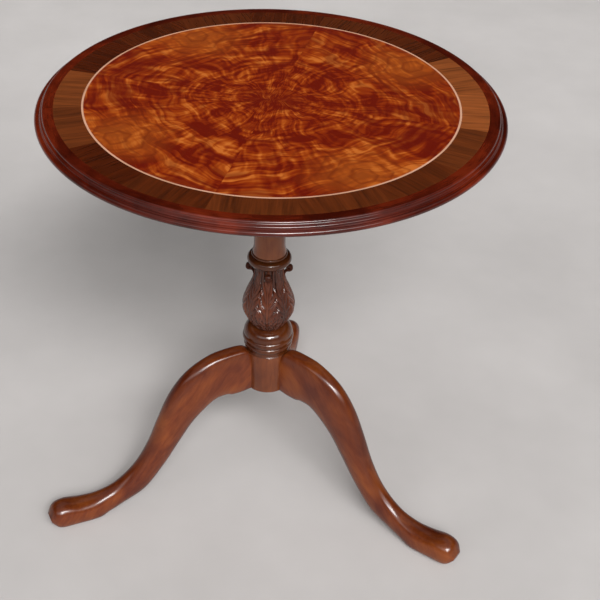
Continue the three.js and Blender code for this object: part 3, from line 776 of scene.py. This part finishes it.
@dataclass
class TableTop:
    """The round top: matched veneers, stringing, crossbanding and moulded edge, in millimetres."""

    finishes: Finishes  # The table's finishes
    height: float = 745.0  # Height of the upper face
    veneer: float = 1.0  # Thickness of the veneers
    stringing_radius: float = 284.0  # Middle of the light line
    stringing_width: float = 3.0  # Width of the light line
    crossband_width: float = 41.5  # Width of the banding outside it
    border: float = 14.5  # Width of the flat rim from the banding to the arris
    turn: float = -9.0  # Angle from +X to the first joint of the veneers, in degrees
    thickness: float = 20.0  # Height of the moulded edge
    ovolo: tuple[float, float] = (2.2, 3.0)  # Width and drop of the ovolo below the arris
    quirk: float = 0.8  # Depth of the small steps between the mouldings
    ogee: tuple[float, float] = (4.8, 4.6)  # Width and drop of the ogee
    bead: float = 4.18  # Radius of the bead
    bead_step: float = 3.2  # How far the bead's middle stands outside the end of the ogee
    base_inset: float = 6.4  # How far the base lies inside the bead
    steps: int = 320  # Points round the top
    leaves: int = 4  # Matched leaves of the field, and lengths of the edge
    leaf_gap: float = 5.0  # How far apart in the flitch neighbouring leaves were cut
    plank: float = 900.0  # How far apart in the timber the lengths of the edge were cut
    seed: int = 7  # Seed of the draws that set where each strip was cut
    # Shades of the two strips of each segment of the banding
    tones: tuple[tuple[float, float], ...] = (
        (0.95, 0.8),
        (0.06, 0.12),
        (0.02, 0.1),
        (0.04, 0.0),
        (0.5, 0.3),
        (0.0, 0.08),
        (0.2, 0.16),
        (0.12, 0.26),
    )

    @property
    def inside(self) -> float:
        """Inner radius of the light line."""
        return self.stringing_radius - self.stringing_width / 2

    @property
    def outside(self) -> float:
        """Outer radius of the light line."""
        return self.stringing_radius + self.stringing_width / 2

    def sector(self, inner: float, outer: float, start: float, end: float) -> Points:
        """A sector of a ring of veneer, as a closed section carried round an arc.

        The section is the rectangle from the inner to the outer radius; each of its points
        turns about Z from the start angle to the end angle.

        Args:
            inner: Inner radius.
            outer: Outer radius.
            start: First angle in degrees.
            end: Last angle in degrees.

        Returns:
            A grid of points: angles by section points by three.
        """
        across = np.linspace(inner, outer, 12)
        lower = np.stack([across, np.full(12, self.height - self.veneer)], axis=1)
        upper = np.stack([across[::-1], np.full(12, self.height)], axis=1)
        count = max(3, int(round(self.steps * (end - start) / 360.0)) + 1)
        return revolve(np.concatenate([lower, upper]), np.radians(np.linspace(start, end, count)))

    def grain_round(self, points: Points, turns: Points, radius: float, shift: float = 0.0) -> Points:
        """Timber places whose grain runs round the top: the way round, the radius and the height."""
        around = np.broadcast_to(turns[:, None] * radius + shift, points.shape[:2])
        return np.stack([around, np.hypot(points[..., 0], points[..., 1]), points[..., 2]], axis=-1)

    def build_field(self) -> None:
        """Builds the matched leaves of the field.

        Each leaf's timber coordinates are its distances from the two joints, so that
        neighbouring leaves mirror each other. A small share of the leaf's number keeps
        the match from being perfect.
        """
        span = 360.0 / self.leaves
        for number in range(self.leaves):
            start = self.turn + span * number
            points = self.sector(0.0, self.inside, start, start + span)
            grain = np.abs(turn_about_z(points, -self.turn))
            grain[..., 2] = self.leaf_gap * number
            node = f"field_veneer_{number + 1}"
            leaf = build(f"veneer_leaf_{number + 1}", [Surface(points, grain)])
            seat(leaf, self.finishes.veneer, "top", node)

    def build_stringing(self) -> None:
        """Builds the light line between the field and the banding."""
        halves = []
        for start in (0.0, 180.0):
            points = self.sector(self.inside, self.outside, start, start + 180.0)
            turns = np.radians(start + np.linspace(0, 180, points.shape[0]))
            halves.append(Surface(points, self.grain_round(points, turns, self.inside)))
        line = build("stringing_line", halves)
        seat(line, self.finishes.stringing, "top", "stringing")

    def build_crossband(self) -> None:
        """Builds the banding: eight segments of two strips, each with its grain pointing out."""
        outer = self.outside + self.crossband_width
        chance = np.random.default_rng(self.seed)
        span = 360.0 / np.size(self.tones)
        for number, tones in enumerate(self.tones):
            strips = []
            for strip, tone in enumerate(tones):
                low = self.turn + span * (number * len(tones) + strip)
                points = self.sector(self.outside, outer, low, low + span)
                local = turn_about_z(points, -(low + span / 2))
                shift = chance.uniform(0, 500, 3)
                strips.append(Surface(points, local + shift, False, tone))
            band = build(f"crossband_segment_{number + 1}", strips)
            seat(band, self.finishes.crossband, "top", f"crossband_{number + 1}")

    def edge_section(self) -> Points:
        """The section of the moulded edge, as radius and height.

        Flat rim, ovolo, quirk, ogee, quirk, bead and base, following one another down.

        Returns:
            The closed outline.
        """
        inner = self.outside + self.crossband_width
        arris = inner + self.border + 0.3
        top, low = self.height, self.height - self.thickness
        ogee_start = arris + self.ovolo[0] - self.quirk
        ogee_top = top - self.ovolo[1] - self.quirk
        ogee_end = ogee_start + self.ogee[0]
        ogee_low = ogee_top - self.ogee[1]
        bead_middle = ogee_low - self.quirk - self.bead
        base = ogee_end + self.bead_step + self.bead - self.base_inset
        turning = [ogee_end - self.ogee[0] * 0.4, ogee_low + self.ogee[1] * 0.6]
        round_pull = [ogee_start + self.ogee[0] * 0.15, ogee_top - self.ogee[1] * 0.25]
        hollow_pull = [ogee_end, ogee_low + self.ogee[1] * 0.3]
        return chain(
            [[inner, low], [inner, top]],
            np.stack([np.linspace(inner + 1.0, arris - 0.4, 8), np.full(8, top)], axis=1),
            arc((arris - 0.2, top - self.ovolo[1]), (self.ovolo[0] + 0.2, self.ovolo[1]), 88, 0, 12),
            [[ogee_start, top - self.ovolo[1]]],
            bezier([[ogee_start, ogee_top], round_pull, turning], 16),
            bezier([turning, hollow_pull, [ogee_end - self.quirk, ogee_low]], 16),
            arc((ogee_end + self.bead_step, bead_middle), (self.bead, self.bead), 125, -55, 24),
            [[base, low]],
        )

    def build_edge(self) -> None:
        """Builds the moulded edge, whose grain runs round the top in four lengths."""
        section = self.edge_section()
        lengths = []
        span = 360.0 / self.leaves
        for number in range(self.leaves):
            start = self.turn + span * (number + 0.25)
            turns = np.radians(np.linspace(start, start + span, self.steps // self.leaves + 1))
            points = revolve(section, turns)
            grain = self.grain_round(points, turns, section[:, 0].max(), self.plank * number)
            lengths.append(Surface(points, grain))
        edge = build("moulded_edge", lengths, sharp=32.0)
        seat(edge, self.finishes.edge, "top", "edge_moulding")

    def make(self) -> None:
        """Builds and dresses the whole top."""
        self.build_field()
        self.build_stringing()
        self.build_crossband()
        self.build_edge()
        dress(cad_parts["top_core"], self.finishes.carcase)
        LOG.info("table top: four leaves, stringing, eight banding segments and edge")


# ---- The column ---------------------------------------------------------------------------------


@dataclass
class Column:
    """The turned and carved column, in millimetres."""

    finishes: Finishes  # The table's finishes
    hub_bottom: float = 203.5  # Height of its lower end
    hub_radius: float = 39.0  # Radius between the legs
    hub_height: float = 75.0  # Height of the plain hub
    ease: float = 2.0  # Radius of the hub's lower edge
    cove: tuple[float, float] = (1.8, 8.0)  # Radius and height of the cove above the hub
    lower_ring: tuple[float, float] = (3.6, 10.0)  # Bulge and height of the lower ring
    upper_ring: tuple[float, float] = (5.4, 13.0)  # Bulge and height of the upper ring
    ring_step: float = 0.7  # How far the rings' roots stand outside the cove
    rim: tuple[float, float] = (41.5, 1.2)  # Radius and height of the rim below the cushion
    cushion: tuple[float, float] = (16.0, 17.0)  # Half-width and height of the cushion
    fillet: float = 1.5  # Height of the step from the cushion to the vase
    vase_height: float = 119.0  # Height of the vase
    vase_foot: float = 28.0  # Radius of its foot
    vase_belly: float = 44.8  # Its greatest radius
    neck: float = 24.0  # Radius of its neck
    undercut: float = 5.3  # Height of the hollow under the collar
    # Radius, bulge and height of the collar's torus
    torus: tuple[float, float, float] = (31.2, 5.4, 13.0)
    bead: tuple[float, float, float] = (27.7, 2.0, 5.2)  # Radius, bulge and height of the bead above it
    flare: float = 17.6  # Height of the flare at the foot of the shaft
    shaft: tuple[float, float] = (25.9, 24.6)  # Radius of the shaft at its foot and head
    # Radius, height of the flare, and height of the capital
    capital: tuple[float, float, float] = (33.0, 24.0, 6.5)
    seat_height: float = 698.5  # Height of the shoulder under the block
    tenon: tuple[float, float] = (16.0, 724.2)  # Radius and top of the tenon
    leaf_turn: float = -87.0  # Direction of the first carved leaf, in degrees from +X
    relief: float = 4.6  # Depth of the carving
    # Reach, drop below the neck and radius of a curled leaf tip
    curl: tuple[float, float, float] = (33.0, 6.6, 6.3)
    hub_tone: float = 0.76  # Shade of the plain hub, paler than the rings and the collar
    ring_tone: float = 0.46  # Shade of the rings and the collar
    shaft_painted_light: float = 0.95  # Shade of the plain shaft, painted paler: painted light in place of the light that the top keeps off it
    steps: int = 128  # Points round the turned lengths
    carved_grid: tuple[int, int] = (420, 210)  # Points round and up the vase
    large_leaves: int = 4  # Large leaves of the carving; the smaller rings follow from them
    flutes: int = 12  # Half the number of flutes round the neck
    coil_turn: float = 560.0  # How far a leaf tip coils, in degrees
    # The vase's outline: share of its height, and of its swelling from neck to belly
    vase_shares: tuple[tuple[float, float], ...] = (
        (0.0, 0.19),
        (0.054, 0.41),
        (0.133, 0.65),
        (0.235, 0.91),
        (0.349, 1.0),
        (0.464, 0.83),
        (0.604, 0.53),
        (0.722, 0.25),
        (0.864, 0.06),
        (1.0, 0.0),
    )

    @property
    def rings_bottom(self) -> float:
        """Height of the lowest ring's lower side."""
        return self.hub_bottom + self.hub_height + self.cove[1]

    @property
    def vase_bottom(self) -> float:
        """Height of the vase's foot."""
        rings = self.rings_bottom + self.lower_ring[1] + self.upper_ring[1]
        return rings + self.rim[1] + self.cushion[1] + self.fillet

    @property
    def vase_top(self) -> float:
        """Height of the vase's neck."""
        return self.vase_bottom + self.vase_height

    @property
    def collar_top(self) -> float:
        """Height of the upper side of the collar's bead."""
        return self.vase_top + self.undercut + self.torus[2] + self.bead[2]

    def swelling(
        self, root: float, low: float, bulge: float, height: float, end: float, count: int
    ) -> Points:
        """Half an ellipse that swells out from a root radius above a height, for a ring."""
        return arc((root, low + height / 2), (bulge, height / 2), -end, end, count)

    def lower_profile(self) -> Points:
        """The turning below the vase: hub, cove, two rings, rim and cushion.

        Returns:
            Rows of radius and height, from the axis up to the foot of the vase.
        """
        hub_top = self.hub_bottom + self.hub_height
        root = self.hub_radius - self.cove[0] + self.ring_step
        ring_1 = self.rings_bottom
        ring_2 = ring_1 + self.lower_ring[1]
        top = ring_2 + self.upper_ring[1]
        rim = top + self.rim[1]
        return chain(
            [[0, self.hub_bottom]],
            arc((self.hub_radius - self.ease, self.hub_bottom + self.ease), (self.ease,) * 2, -90, 0, 8),
            [[self.hub_radius, hub_top - 1.0]],
            arc((self.hub_radius, hub_top + self.cove[0]), (self.cove[0], self.cove[0]), 250, 180, 8),
            [[self.hub_radius - self.cove[0], ring_1 - 0.4]],
            self.swelling(root, ring_1, *self.lower_ring, 88, 20),
            self.swelling(root, ring_2, *self.upper_ring, 88, 24),
            [[self.rim[0] - 0.5, top + 0.3], [self.rim[0], top + 0.6]],
            arc((self.rim[0] - self.cushion[0], rim), self.cushion, 0, 90, 30),
            [[self.vase_foot - 2.0, self.vase_bottom - 1.0], [self.vase_foot, self.vase_bottom]],
            [[self.vase_foot - 1.0, self.vase_bottom + 1.0]],
        )

    def upper_profile(self) -> Points:
        """The turning above the vase: collar, plain shaft, capital and tenon.

        Returns:
            Rows of radius and height, from the neck up to the axis.
        """
        low = self.vase_top + self.undercut
        middle = low + self.torus[2]
        top = middle + self.bead[2]
        foot = top + self.flare
        capital = self.seat_height - self.capital[2]
        flare_pulls = [[self.shaft[0] + 2, top + self.flare * 0.25], [self.shaft[0], top + self.flare * 0.6]]
        bell_foot = [self.shaft[1], capital - self.capital[1]]
        bell_pull = [self.shaft[1], capital - self.capital[1] * 0.2]
        return chain(
            [[self.neck - 1.5, self.vase_top - 2.0], [self.neck, self.vase_top]],
            [[self.torus[0] - 1.5, low - 0.2]],
            arc((self.torus[0], (low + middle) / 2), (self.torus[1], self.torus[2] / 2), -90, 86, 30),
            arc((self.bead[0], (middle + top) / 2), (self.bead[1], self.bead[2] / 2), -86, 88, 18),
            bezier([[self.bead[0], top], *flare_pulls, [self.shaft[0], foot]], 20),
            bezier([bell_foot, bell_pull, [self.capital[0], capital]], 20),
            [[self.capital[0], self.seat_height - 0.3], [self.capital[0] - 0.3, self.seat_height]],
            [[self.tenon[0], self.seat_height], [self.tenon[0], self.tenon[1] - 1]],
            [[self.tenon[0] - 1, self.tenon[1]], [0, self.tenon[1]]],
        )

    def carved_leaf(
        self,
        turn: Points,
        rise: Points,
        first: float,
        count: int,
        foot: float,
        tip: float,
        width: float,
        lobes: float,
        lift: float,
    ) -> Points:
        """Height of one ring of carved leaves over their ground, from 0 to 1.

        Across a leaf, its share of the half-width runs from 0 at the midrib to 1 at the
        edge. Lobes are parabolas with sharp valleys that climb outwards from the midrib,
        and they scallop the edge; each is fluted by three narrower ones, and a round eye
        is drilled where two lobes part. The face is a low arch with a raised midrib
        between two grooves, and it lifts away from the ground towards the tip.

        Args:
            turn: Angle about the axis, in radians.
            rise: Share of the vase's height.
            first: Direction of the first leaf, in degrees.
            count: Number of leaves in the ring.
            foot: Share of the height where they start.
            tip: Share of the height where they end.
            width: Half-width at the widest place, in degrees.
            lobes: Lobes along one side.
            lift: Height of the leaf's face.

        Returns:
            The height at each point.
        """
        pitch = 2 * math.pi / count
        across = (turn - math.radians(first) + pitch / 2) % pitch - pitch / 2
        along = (rise - foot) / (tip - foot)
        there = (along > 0) & (along < 1)
        along = np.clip(along, 0, 1)
        half = math.radians(width) * (0.3 + 0.7 * np.sin(math.pi * along**0.8)) * np.sqrt(1 - along**6)
        share = np.abs(across) / np.maximum(half, 1e-3)
        wander = 0.16 * np.sin(9.0 * along + 3.0 * turn) + 0.1 * np.sin(23.0 * along - 5.0 * turn)
        phase = along * lobes - 2.3 * share + wander
        lobe = 1 - np.abs(2 * (phase % 1.0) - 1) ** 1.6
        teeth = 1 - (2 * ((3 * phase) % 1.0) - 1) ** 2
        out = share / (0.76 + 0.24 * lobe)
        inside = np.clip((1 - out) * 7, 0, 1)
        face = 0.5 + 0.2 * np.sqrt(np.clip(1 - out**2, 0, 1)) + 0.22 * along**2
        veins = 0.46 * (lobe - 0.5) * np.clip(share * 2.5, 0, 1)
        veins = veins + 0.2 * (teeth - 0.5) * np.clip(share * 3 - 0.1, 0, 1)
        valley = np.abs((phase + 0.5) % 1.0 - 0.5)
        eyes = -0.5 * np.exp(-((valley / 0.14) ** 2) - ((share - 0.66) / 0.11) ** 2)
        width_mm = across * self.vase_belly
        grooves = np.exp(-(((np.abs(width_mm) - 2.6) / 0.9) ** 2))
        midrib = 0.16 * (np.exp(-((width_mm / 1.1) ** 2)) - grooves)
        return inside * there * np.clip(face + veins + eyes + midrib, 0, 1) * lift

    def carved_height(self, turn: Points, rise: Points) -> Points:
        """Height of all the carving over its ground, from 0 to 1.

        Four large leaves stand a quarter turn apart, four narrower ones fill the gaps, and
        eight small ones ring the foot in front of both. The neck between the large leaves
        is fluted. The tallest of them shows.

        Args:
            turn: Angle about the axis, in radians.
            rise: Share of the vase's height.

        Returns:
            The height at each point.
        """
        first, large = self.leaf_turn, self.large_leaves
        half = 180 / large
        flutes = 0.55 * np.abs(np.sin(turn * self.flutes - math.radians(first) * self.flutes)) ** 0.6
        flutes = flutes * np.clip((rise - 0.6) * 6, 0, 1)
        rings = [
            self.carved_leaf(turn, rise, first + half, large, 0.0, 0.93, 34, 9, 0.8),
            self.carved_leaf(turn, rise, first, large, 0.0, 1.02, 33, 8, 1.0),
            self.carved_leaf(turn, rise, first + half / 2, 2 * large, 0.0, 0.4, 20, 4, 1.0),
        ]
        return np.maximum.reduce([np.maximum(0.1, flutes), *rings])

    def build_turning(self) -> None:
        """Builds the plain turned lengths below and above the carving."""
        turns = np.linspace(0, 2 * math.pi, self.steps, endpoint=False)
        for name, profile in (("column_foot", self.lower_profile()), ("column_shaft", self.upper_profile())):
            points = revolve(profile, turns)
            grain = points[..., [2, 0, 1]]
            tone = np.where(points[..., 2] < self.hub_bottom + self.hub_height, self.hub_tone, self.ring_tone)
            # Painted light: the shaft above the collar is painted paler, in place of the light that the top
            # keeps off it
            tone = np.where(points[..., 2] > self.collar_top, self.shaft_painted_light, tone)
            turning = build(name, [Surface(points, grain, True, tone)], sharp=38.0)
            seat(turning, self.finishes.turned, "base", "column")

    def build_vase(self) -> None:
        """Builds the carved vase: its outline drawn in where the carving is cut away."""
        shares = smooth_curve(self.vase_shares, self.carved_grid[1])
        rise, swell = shares[:, 0], shares[:, 1]
        radius = self.neck + swell * (self.vase_belly - self.neck)
        turns = np.linspace(0, 2 * math.pi, self.carved_grid[0], endpoint=False)
        height = self.carved_height(turns[:, None], rise[None, :])
        fade = np.clip(rise / 0.05, 0, 1) * np.clip((1 - rise) / 0.03, 0, 1)
        depth = self.relief * (1 - height) * fade
        real = radius[None, :] - depth
        z = np.broadcast_to(self.vase_bottom + rise * self.vase_height, real.shape)
        points = np.stack([real * np.cos(turns)[:, None], real * np.sin(turns)[:, None], z], axis=-1)
        vase = build("carved_vase", [Surface(points, points[..., [2, 0, 1]], True, height)], sharp=180.0)
        seat(vase, self.finishes.carving, "base", "column")

    def build_scrolls(self) -> None:
        """Builds the tips of the four large leaves, which curl out under the collar.

        Each is a fluted strap: a squarish section, with its cosine and sine raised to 0.7,
        carried up the neck, outwards, and over along a shrinking spiral in the plane
        through the axis.
        """
        reach, drop, radius = self.curl
        top = self.vase_top
        middle = np.array([reach, top - drop])
        t = np.linspace(0, 1, 64)
        turn = np.radians(self.coil_turn * t - 90)
        coil = (radius - 1.5) * (1 - 0.62 * t**1.3)
        spiral = middle + np.stack([np.cos(turn) * coil, np.sin(turn) * coil], axis=1)
        stem = smooth_curve(
            [
                [self.neck - 0.6, top - 34.0],
                [self.neck + 0.4, top - 25.0],
                [self.neck + 1.6, top - 17.0],
                [self.neck + 4.2, top - drop - radius + 0.6],
                spiral[0],
            ],
            26,
        )
        path = np.concatenate([stem[:-1], spiral])
        along = np.gradient(path, axis=0)
        along /= np.linalg.norm(along, axis=1)[:, None]
        normal = np.stack([-along[:, 1], along[:, 0]], axis=1)
        share = np.linspace(0, 1, len(path))
        half_width = np.interp(share, [0, 0.2, 0.34, 0.9, 1], [3.6, 4.2, 4.6, 4.4, 3.8])
        half_thick = np.interp(share, [0, 0.12, 0.24, 0.34, 0.9, 1], [1.2, 1.8, 1.9, 1.6, 1.5, 1.1])
        angle = np.linspace(0, 2 * math.pi, 32, endpoint=False)
        across, through = rounded(angle, 0.7)
        ridge = 0.8 + 0.2 * np.cos(across * 3 * math.pi) ** 2
        out = path[:, None, :] + normal[:, None, :] * (half_thick[:, None] * through * ridge)[..., None]
        side = half_width[:, None] * across
        flat = np.stack([out[..., 0], side, out[..., 1]], axis=-1)
        scrolls = []
        for number in range(self.large_leaves):
            points = turn_about_z(flat, self.leaf_turn + 360 / self.large_leaves * number)
            scrolls.append(Surface(points, points[..., [2, 0, 1]], False, 0.7))
        tips = build("curled_leaf_tips", scrolls, sharp=60.0)
        seat(tips, self.finishes.leaf_tip, "base", "column")

    def make(self) -> None:
        """Builds and dresses the column."""
        self.build_turning()
        self.build_vase()
        self.build_scrolls()
        LOG.info("column: turned lengths, carved vase and curled leaf tips")


# ---- The legs -----------------------------------------------------------------------------------


@dataclass
class CabrioleLegs:
    """Three cabriole legs with padded slipper feet, in millimetres."""

    finishes: Finishes  # The table's finishes
    hub_bottom: float = 203.5  # Height of the column's lower end
    hub_radius: float = 39.0  # Radius of the column's hub
    reach: float = 405.95  # Distance from the column's axis to the toe
    knee: float = 286.0  # Height of the top of the knee
    width: float = 38.0  # Width across the knee
    # The CAD node of each leg and the way that it points, in degrees from +X
    angles: tuple[tuple[str, float], ...] = (
        ("leg_back", 90.0),
        ("leg_front_left", 210.0),
        ("leg_front_right", 330.0),
    )
    # For each station the ridge, the underside, the share of the width and the squareness
    stations: tuple[tuple[float, ...], ...] = (
        (-0.017, 0.795, -0.017, -0.014, 0.76, 5.0),
        (0.013, 0.983, 0.032, -0.03, 0.81, 5.0),
        (0.105, 0.995, 0.08, -0.034, 0.86, 4.5),
        (0.197, 0.921, 0.111, -0.026, 0.95, 3.2),
        (0.303, 0.658, 0.173, -0.057, 1.0, 2.6),
        (0.382, 0.235, 0.272, -0.218, 1.0, 2.4),
        (0.441, -0.126, 0.347, -0.407, 0.98, 2.3),
        (0.498, -0.372, 0.43, -0.627, 0.93, 2.25),
        (0.567, -0.568, 0.53, -0.84, 0.87, 2.2),
        (0.663, -0.723, 0.643, -0.936, 0.88, 2.2),
        (0.759, -0.79, 0.712, -0.981, 1.02, 2.3),
        (0.847, -0.798, 0.761, -1.01, 1.18, 2.5),
        (0.924, -0.773, 0.872, -1.01, 1.26, 2.4),
        (0.973, -0.797, 0.954, -1.005, 1.14, 2.3),
        (1.0, -0.875, 0.991, -0.946, 0.59, 2.2),
    )
    tone: float = 0.69  # Shade of the sides
    upper_painted_shade: float = 0.17  # How much darker the upper face is painted: a painted shade in place of the dark reflection it would show
    grain_slope: float = -52.0  # Way that the grain runs in the side view, in degrees
    plank: float = 700.0  # How far apart in the timber the legs were cut
    rings: int = 170  # Sections along a leg
    around: int = 56  # Points round a section

    def place(self, outward: Points, upward: Points) -> Points:
        """Turns the shares that the stations are given in into places in the side view.

        Args:
            outward: Shares of the way from the hub's side to the toe.
            upward: Shares of the way from the hub's underside to the knee, or below 0 to the floor.

        Returns:
            Rows of distance from the axis and height.
        """
        x = self.hub_radius + outward * (self.reach - self.hub_radius)
        rise = np.where(upward < 0, self.hub_bottom, self.knee - self.hub_bottom)
        z = self.hub_bottom + upward * rise
        return np.stack([x, z], axis=-1)

    def surface(self) -> tuple[Points, Points, Points]:
        """The skin of a leg that points along +X.

        At each ring the section is a rounded oblong between the ridge and the underside:
        its two coordinates are the cosine and the sine of the angle, raised to the power
        2 / squareness with their signs kept. Nothing goes below the floor.

        Returns:
            The grid of points, their places in the timber, and their shades, with a painted shade that
            darkens the upper face.
        """
        table = np.asarray(self.stations)
        placed = [self.place(table[:, 0], table[:, 1]), self.place(table[:, 2], table[:, 3]), table[:, 4:]]
        rows = smooth_curve(np.concatenate(placed, axis=1), self.rings)
        ridge, under = rows[:, 0:2], rows[:, 2:4]
        middle, rise = (ridge + under) / 2, (ridge - under) / 2
        angle = np.linspace(0, 2 * math.pi, self.around, endpoint=False)
        across, up = rounded(angle, 2 / rows[:, 5][:, None])
        x = middle[:, :1] + rise[:, :1] * up
        z = np.maximum(middle[:, 1:] + rise[:, 1:] * up, 0.0)
        y = across * rows[:, 4][:, None] * self.width / 2
        points = np.stack([x, y, z], axis=-1)
        slope = math.radians(self.grain_slope)
        along = x * math.cos(slope) + z * math.sin(slope)
        through = -x * math.sin(slope) + z * math.cos(slope)
        # Painted shade: the upper face is darker, in place of the dark reflection it would show
        shade = self.tone - self.upper_painted_shade * np.clip(2 * up - 0.8, 0, 1)
        return points, np.stack([along, y, through], axis=-1), shade

    def make(self) -> None:
        """Builds and dresses the three legs."""
        points, grain, shade = self.surface()
        for number, (node, angle) in enumerate(self.angles):
            skin = Surface(turn_about_z(points, angle), grain + self.plank * number, False, shade)
            leg = build(node.replace("leg", "cabriole"), [skin], sharp=75.0)
            seat(leg, self.finishes.mahogany, "base", node)
        LOG.info("legs: three cabriole legs")


# ---- What lies under the top --------------------------------------------------------------------


@dataclass
class Fittings:
    """The block, bearers, catch, brace and screws, which keep their CAD shapes."""

    finishes: Finishes  # The table's finishes

    def make(self) -> None:
        """Dresses the fittings."""
        by_start = {
            "bearer_left_screw": "steel",
            "bearer_right_screw": "steel",
            "bearer": "carcase",
            "pivot_block": "carcase",
            "brace_screw": "steel",
            "brace_plate": "iron",
            "catch": "brass",
            "strike": "brass",
            "tenon_wedge": "mahogany",
        }
        for name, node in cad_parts.items():
            starts = [start for start in by_start if name.startswith(start)]
            if starts:
                dress(node, getattr(self.finishes, by_start[starts[0]]))
        LOG.info("fittings: block, bearers, catch, brace and screws")


# ---- Studio -------------------------------------------------------------------------------------


@dataclass
class Studio:
    """Floor, lamps and camera, in metres."""

    turn: float = 6.25  # Direction from which the camera looks, in degrees to the right of the front
    distance: float = 1.7696  # Distance of the camera from the column's axis, along the floor
    height: float = 1.6458  # Height of the camera
    yaw: float = 1.70  # Turn of the view to the right, in degrees
    pitch: float = 35.68  # Tilt of the view downwards, in degrees
    roll: float = 2.09  # Turn of the view about its own axis, in degrees
    lens: float = 78.0  # Focal length for a 36 mm sensor
    floor_half: float = 6.0  # Half the width of the floor
    window_turn: float = 0.0  # Middle of the row of windows, in degrees to the right of the camera
    window_glow: float = 2.3  # Brightness of the row of windows
    # Name, direction, elevation, width and strength of each lamp, as add_sun takes them
    suns: tuple[tuple[Any, ...], ...] = (
        ("window_left", 1.0, 43.0, 12.0, 0.85),
        ("window_middle", 14.0, 44.0, 13.0, 1.15),
        ("window_right", 27.0, 43.0, 12.0, 0.8),
        ("window_low", 8.0, 33.0, 9.0, 0.7),
        ("second_window", 46.0, 42.0, 20.0, 0.3),
    )

    def add_camera(self) -> None:
        """Adds the camera."""
        data = bpy.data.cameras.new("camera")
        data.lens = self.lens
        data.sensor_width = 36.0
        camera = add_object("camera", data)
        turn = math.radians(self.turn)
        heading = turn - math.radians(self.yaw)
        out = (math.sin(turn) * self.distance, -math.cos(turn) * self.distance)
        camera.matrix_world = (
            Matrix.Translation((AXIS[0] + out[0], AXIS[1] + out[1], self.height))
            @ Matrix.Rotation(heading, 4, "Z")
            @ Matrix.Rotation(math.radians(90.0 - self.pitch), 4, "X")
            @ Matrix.Rotation(math.radians(self.roll), 4, "Z")
        )
        bpy.context.scene.camera = camera

    def add_floor(self) -> None:
        """Adds the pale floor."""
        mesh = bpy.data.meshes.new("floor")
        far = self.floor_half
        mesh.from_pydata([(-far, -far, 0), (far, -far, 0), (far, far, 0), (-far, far, 0)], [], [(0, 1, 2, 3)])
        floor = add_object("floor", mesh)
        material, recipe, shader = new_material("pale_floor")
        place = recipe.object_place()
        cloud = recipe.noise(place, 2.2, 4.0, 0.6)
        colour = recipe.ramp(cloud, [(0.3, "#aeaaa8"), (0.7, "#bab6b4")])
        set_inputs(shader, {"Base Color": colour, "Roughness": 0.8})
        dress(floor, material)

    def add_sun(self, name: str, turn: float, rise: float, width: float, strength: float) -> None:
        """Adds a far soft lamp.

        Args:
            name: Name of the lamp.
            turn: Direction that it shines from, in degrees to the right of the camera.
            rise: Elevation in degrees.
            width: How wide it looks from the table, in degrees.
            strength: Its power for each square metre, in watts.
        """
        data = bpy.data.lights.new(name, "SUN")
        data.angle = math.radians(width)
        data.energy = strength
        around = Matrix.Rotation(math.radians(self.turn + turn), 4, "Z")
        add_object(name, data).matrix_world = around @ Matrix.Rotation(math.radians(90.0 - rise), 4, "X")

    def light_world(self) -> None:
        """Lights the room.

        It is bright overhead and pale at the horizon, and dark between them, with a row of
        windows behind the camera.
        """
        world = bpy.data.worlds.new("room")
        world.use_nodes = True
        tree = world.node_tree
        tree.nodes.clear()
        recipe = Recipe(tree)
        direction = recipe.add("ShaderNodeTexCoord").outputs["Generated"]
        height = recipe.add("ShaderNodeSeparateXYZ", None, Vector=direction).outputs[2]
        roof = [(0.0, 0.34), (0.2, 0.3), (0.32, 0.004), (0.6, 0.004), (0.78, 0.4), (1.0, 0.45)]
        facing = math.radians(self.turn + self.window_turn)
        ahead = (math.sin(facing), -math.cos(facing), 0.0)
        towards = recipe.vectors("DOT_PRODUCT", direction, ahead).outputs["Value"]
        wide = recipe.ramp(towards, [(0.34, 0.0), (0.7, 1.0)])
        tall = recipe.ramp(height, [(0.36, 0.0), (0.5, 1.0), (0.66, 1.0), (0.76, 0.0)])
        windows = recipe.times(recipe.times(wide, tall), self.window_glow)
        colour = recipe.mix(1.0, recipe.ramp(height, roof), windows, "ADD")
        background = add_node(tree, "ShaderNodeBackground", None, {"Color": colour, "Strength": 1.0})
        add_node(tree, "ShaderNodeOutputWorld", None, {"Surface": background.outputs[0]})
        bpy.context.scene.world = world

    def make(self) -> None:
        """Sets up the whole studio."""
        bpy.context.scene.view_settings.view_transform = "Standard"
        self.add_camera()
        self.add_floor()
        for name, *place_and_power in self.suns:
            self.add_sun(name, *place_and_power)
        self.light_world()
        LOG.info("studio: floor, lamps and camera")


def main() -> None:
    """Builds the table and the studio."""
    logging.basicConfig(level=logging.INFO, format="%(name)s: %(message)s")
    finishes = Finishes()
    TableTop(finishes).make()
    Column(finishes).make()
    CabrioleLegs(finishes).make()
    Fittings(finishes).make()
    Studio().make()


if __name__ == "__main__":
    main()
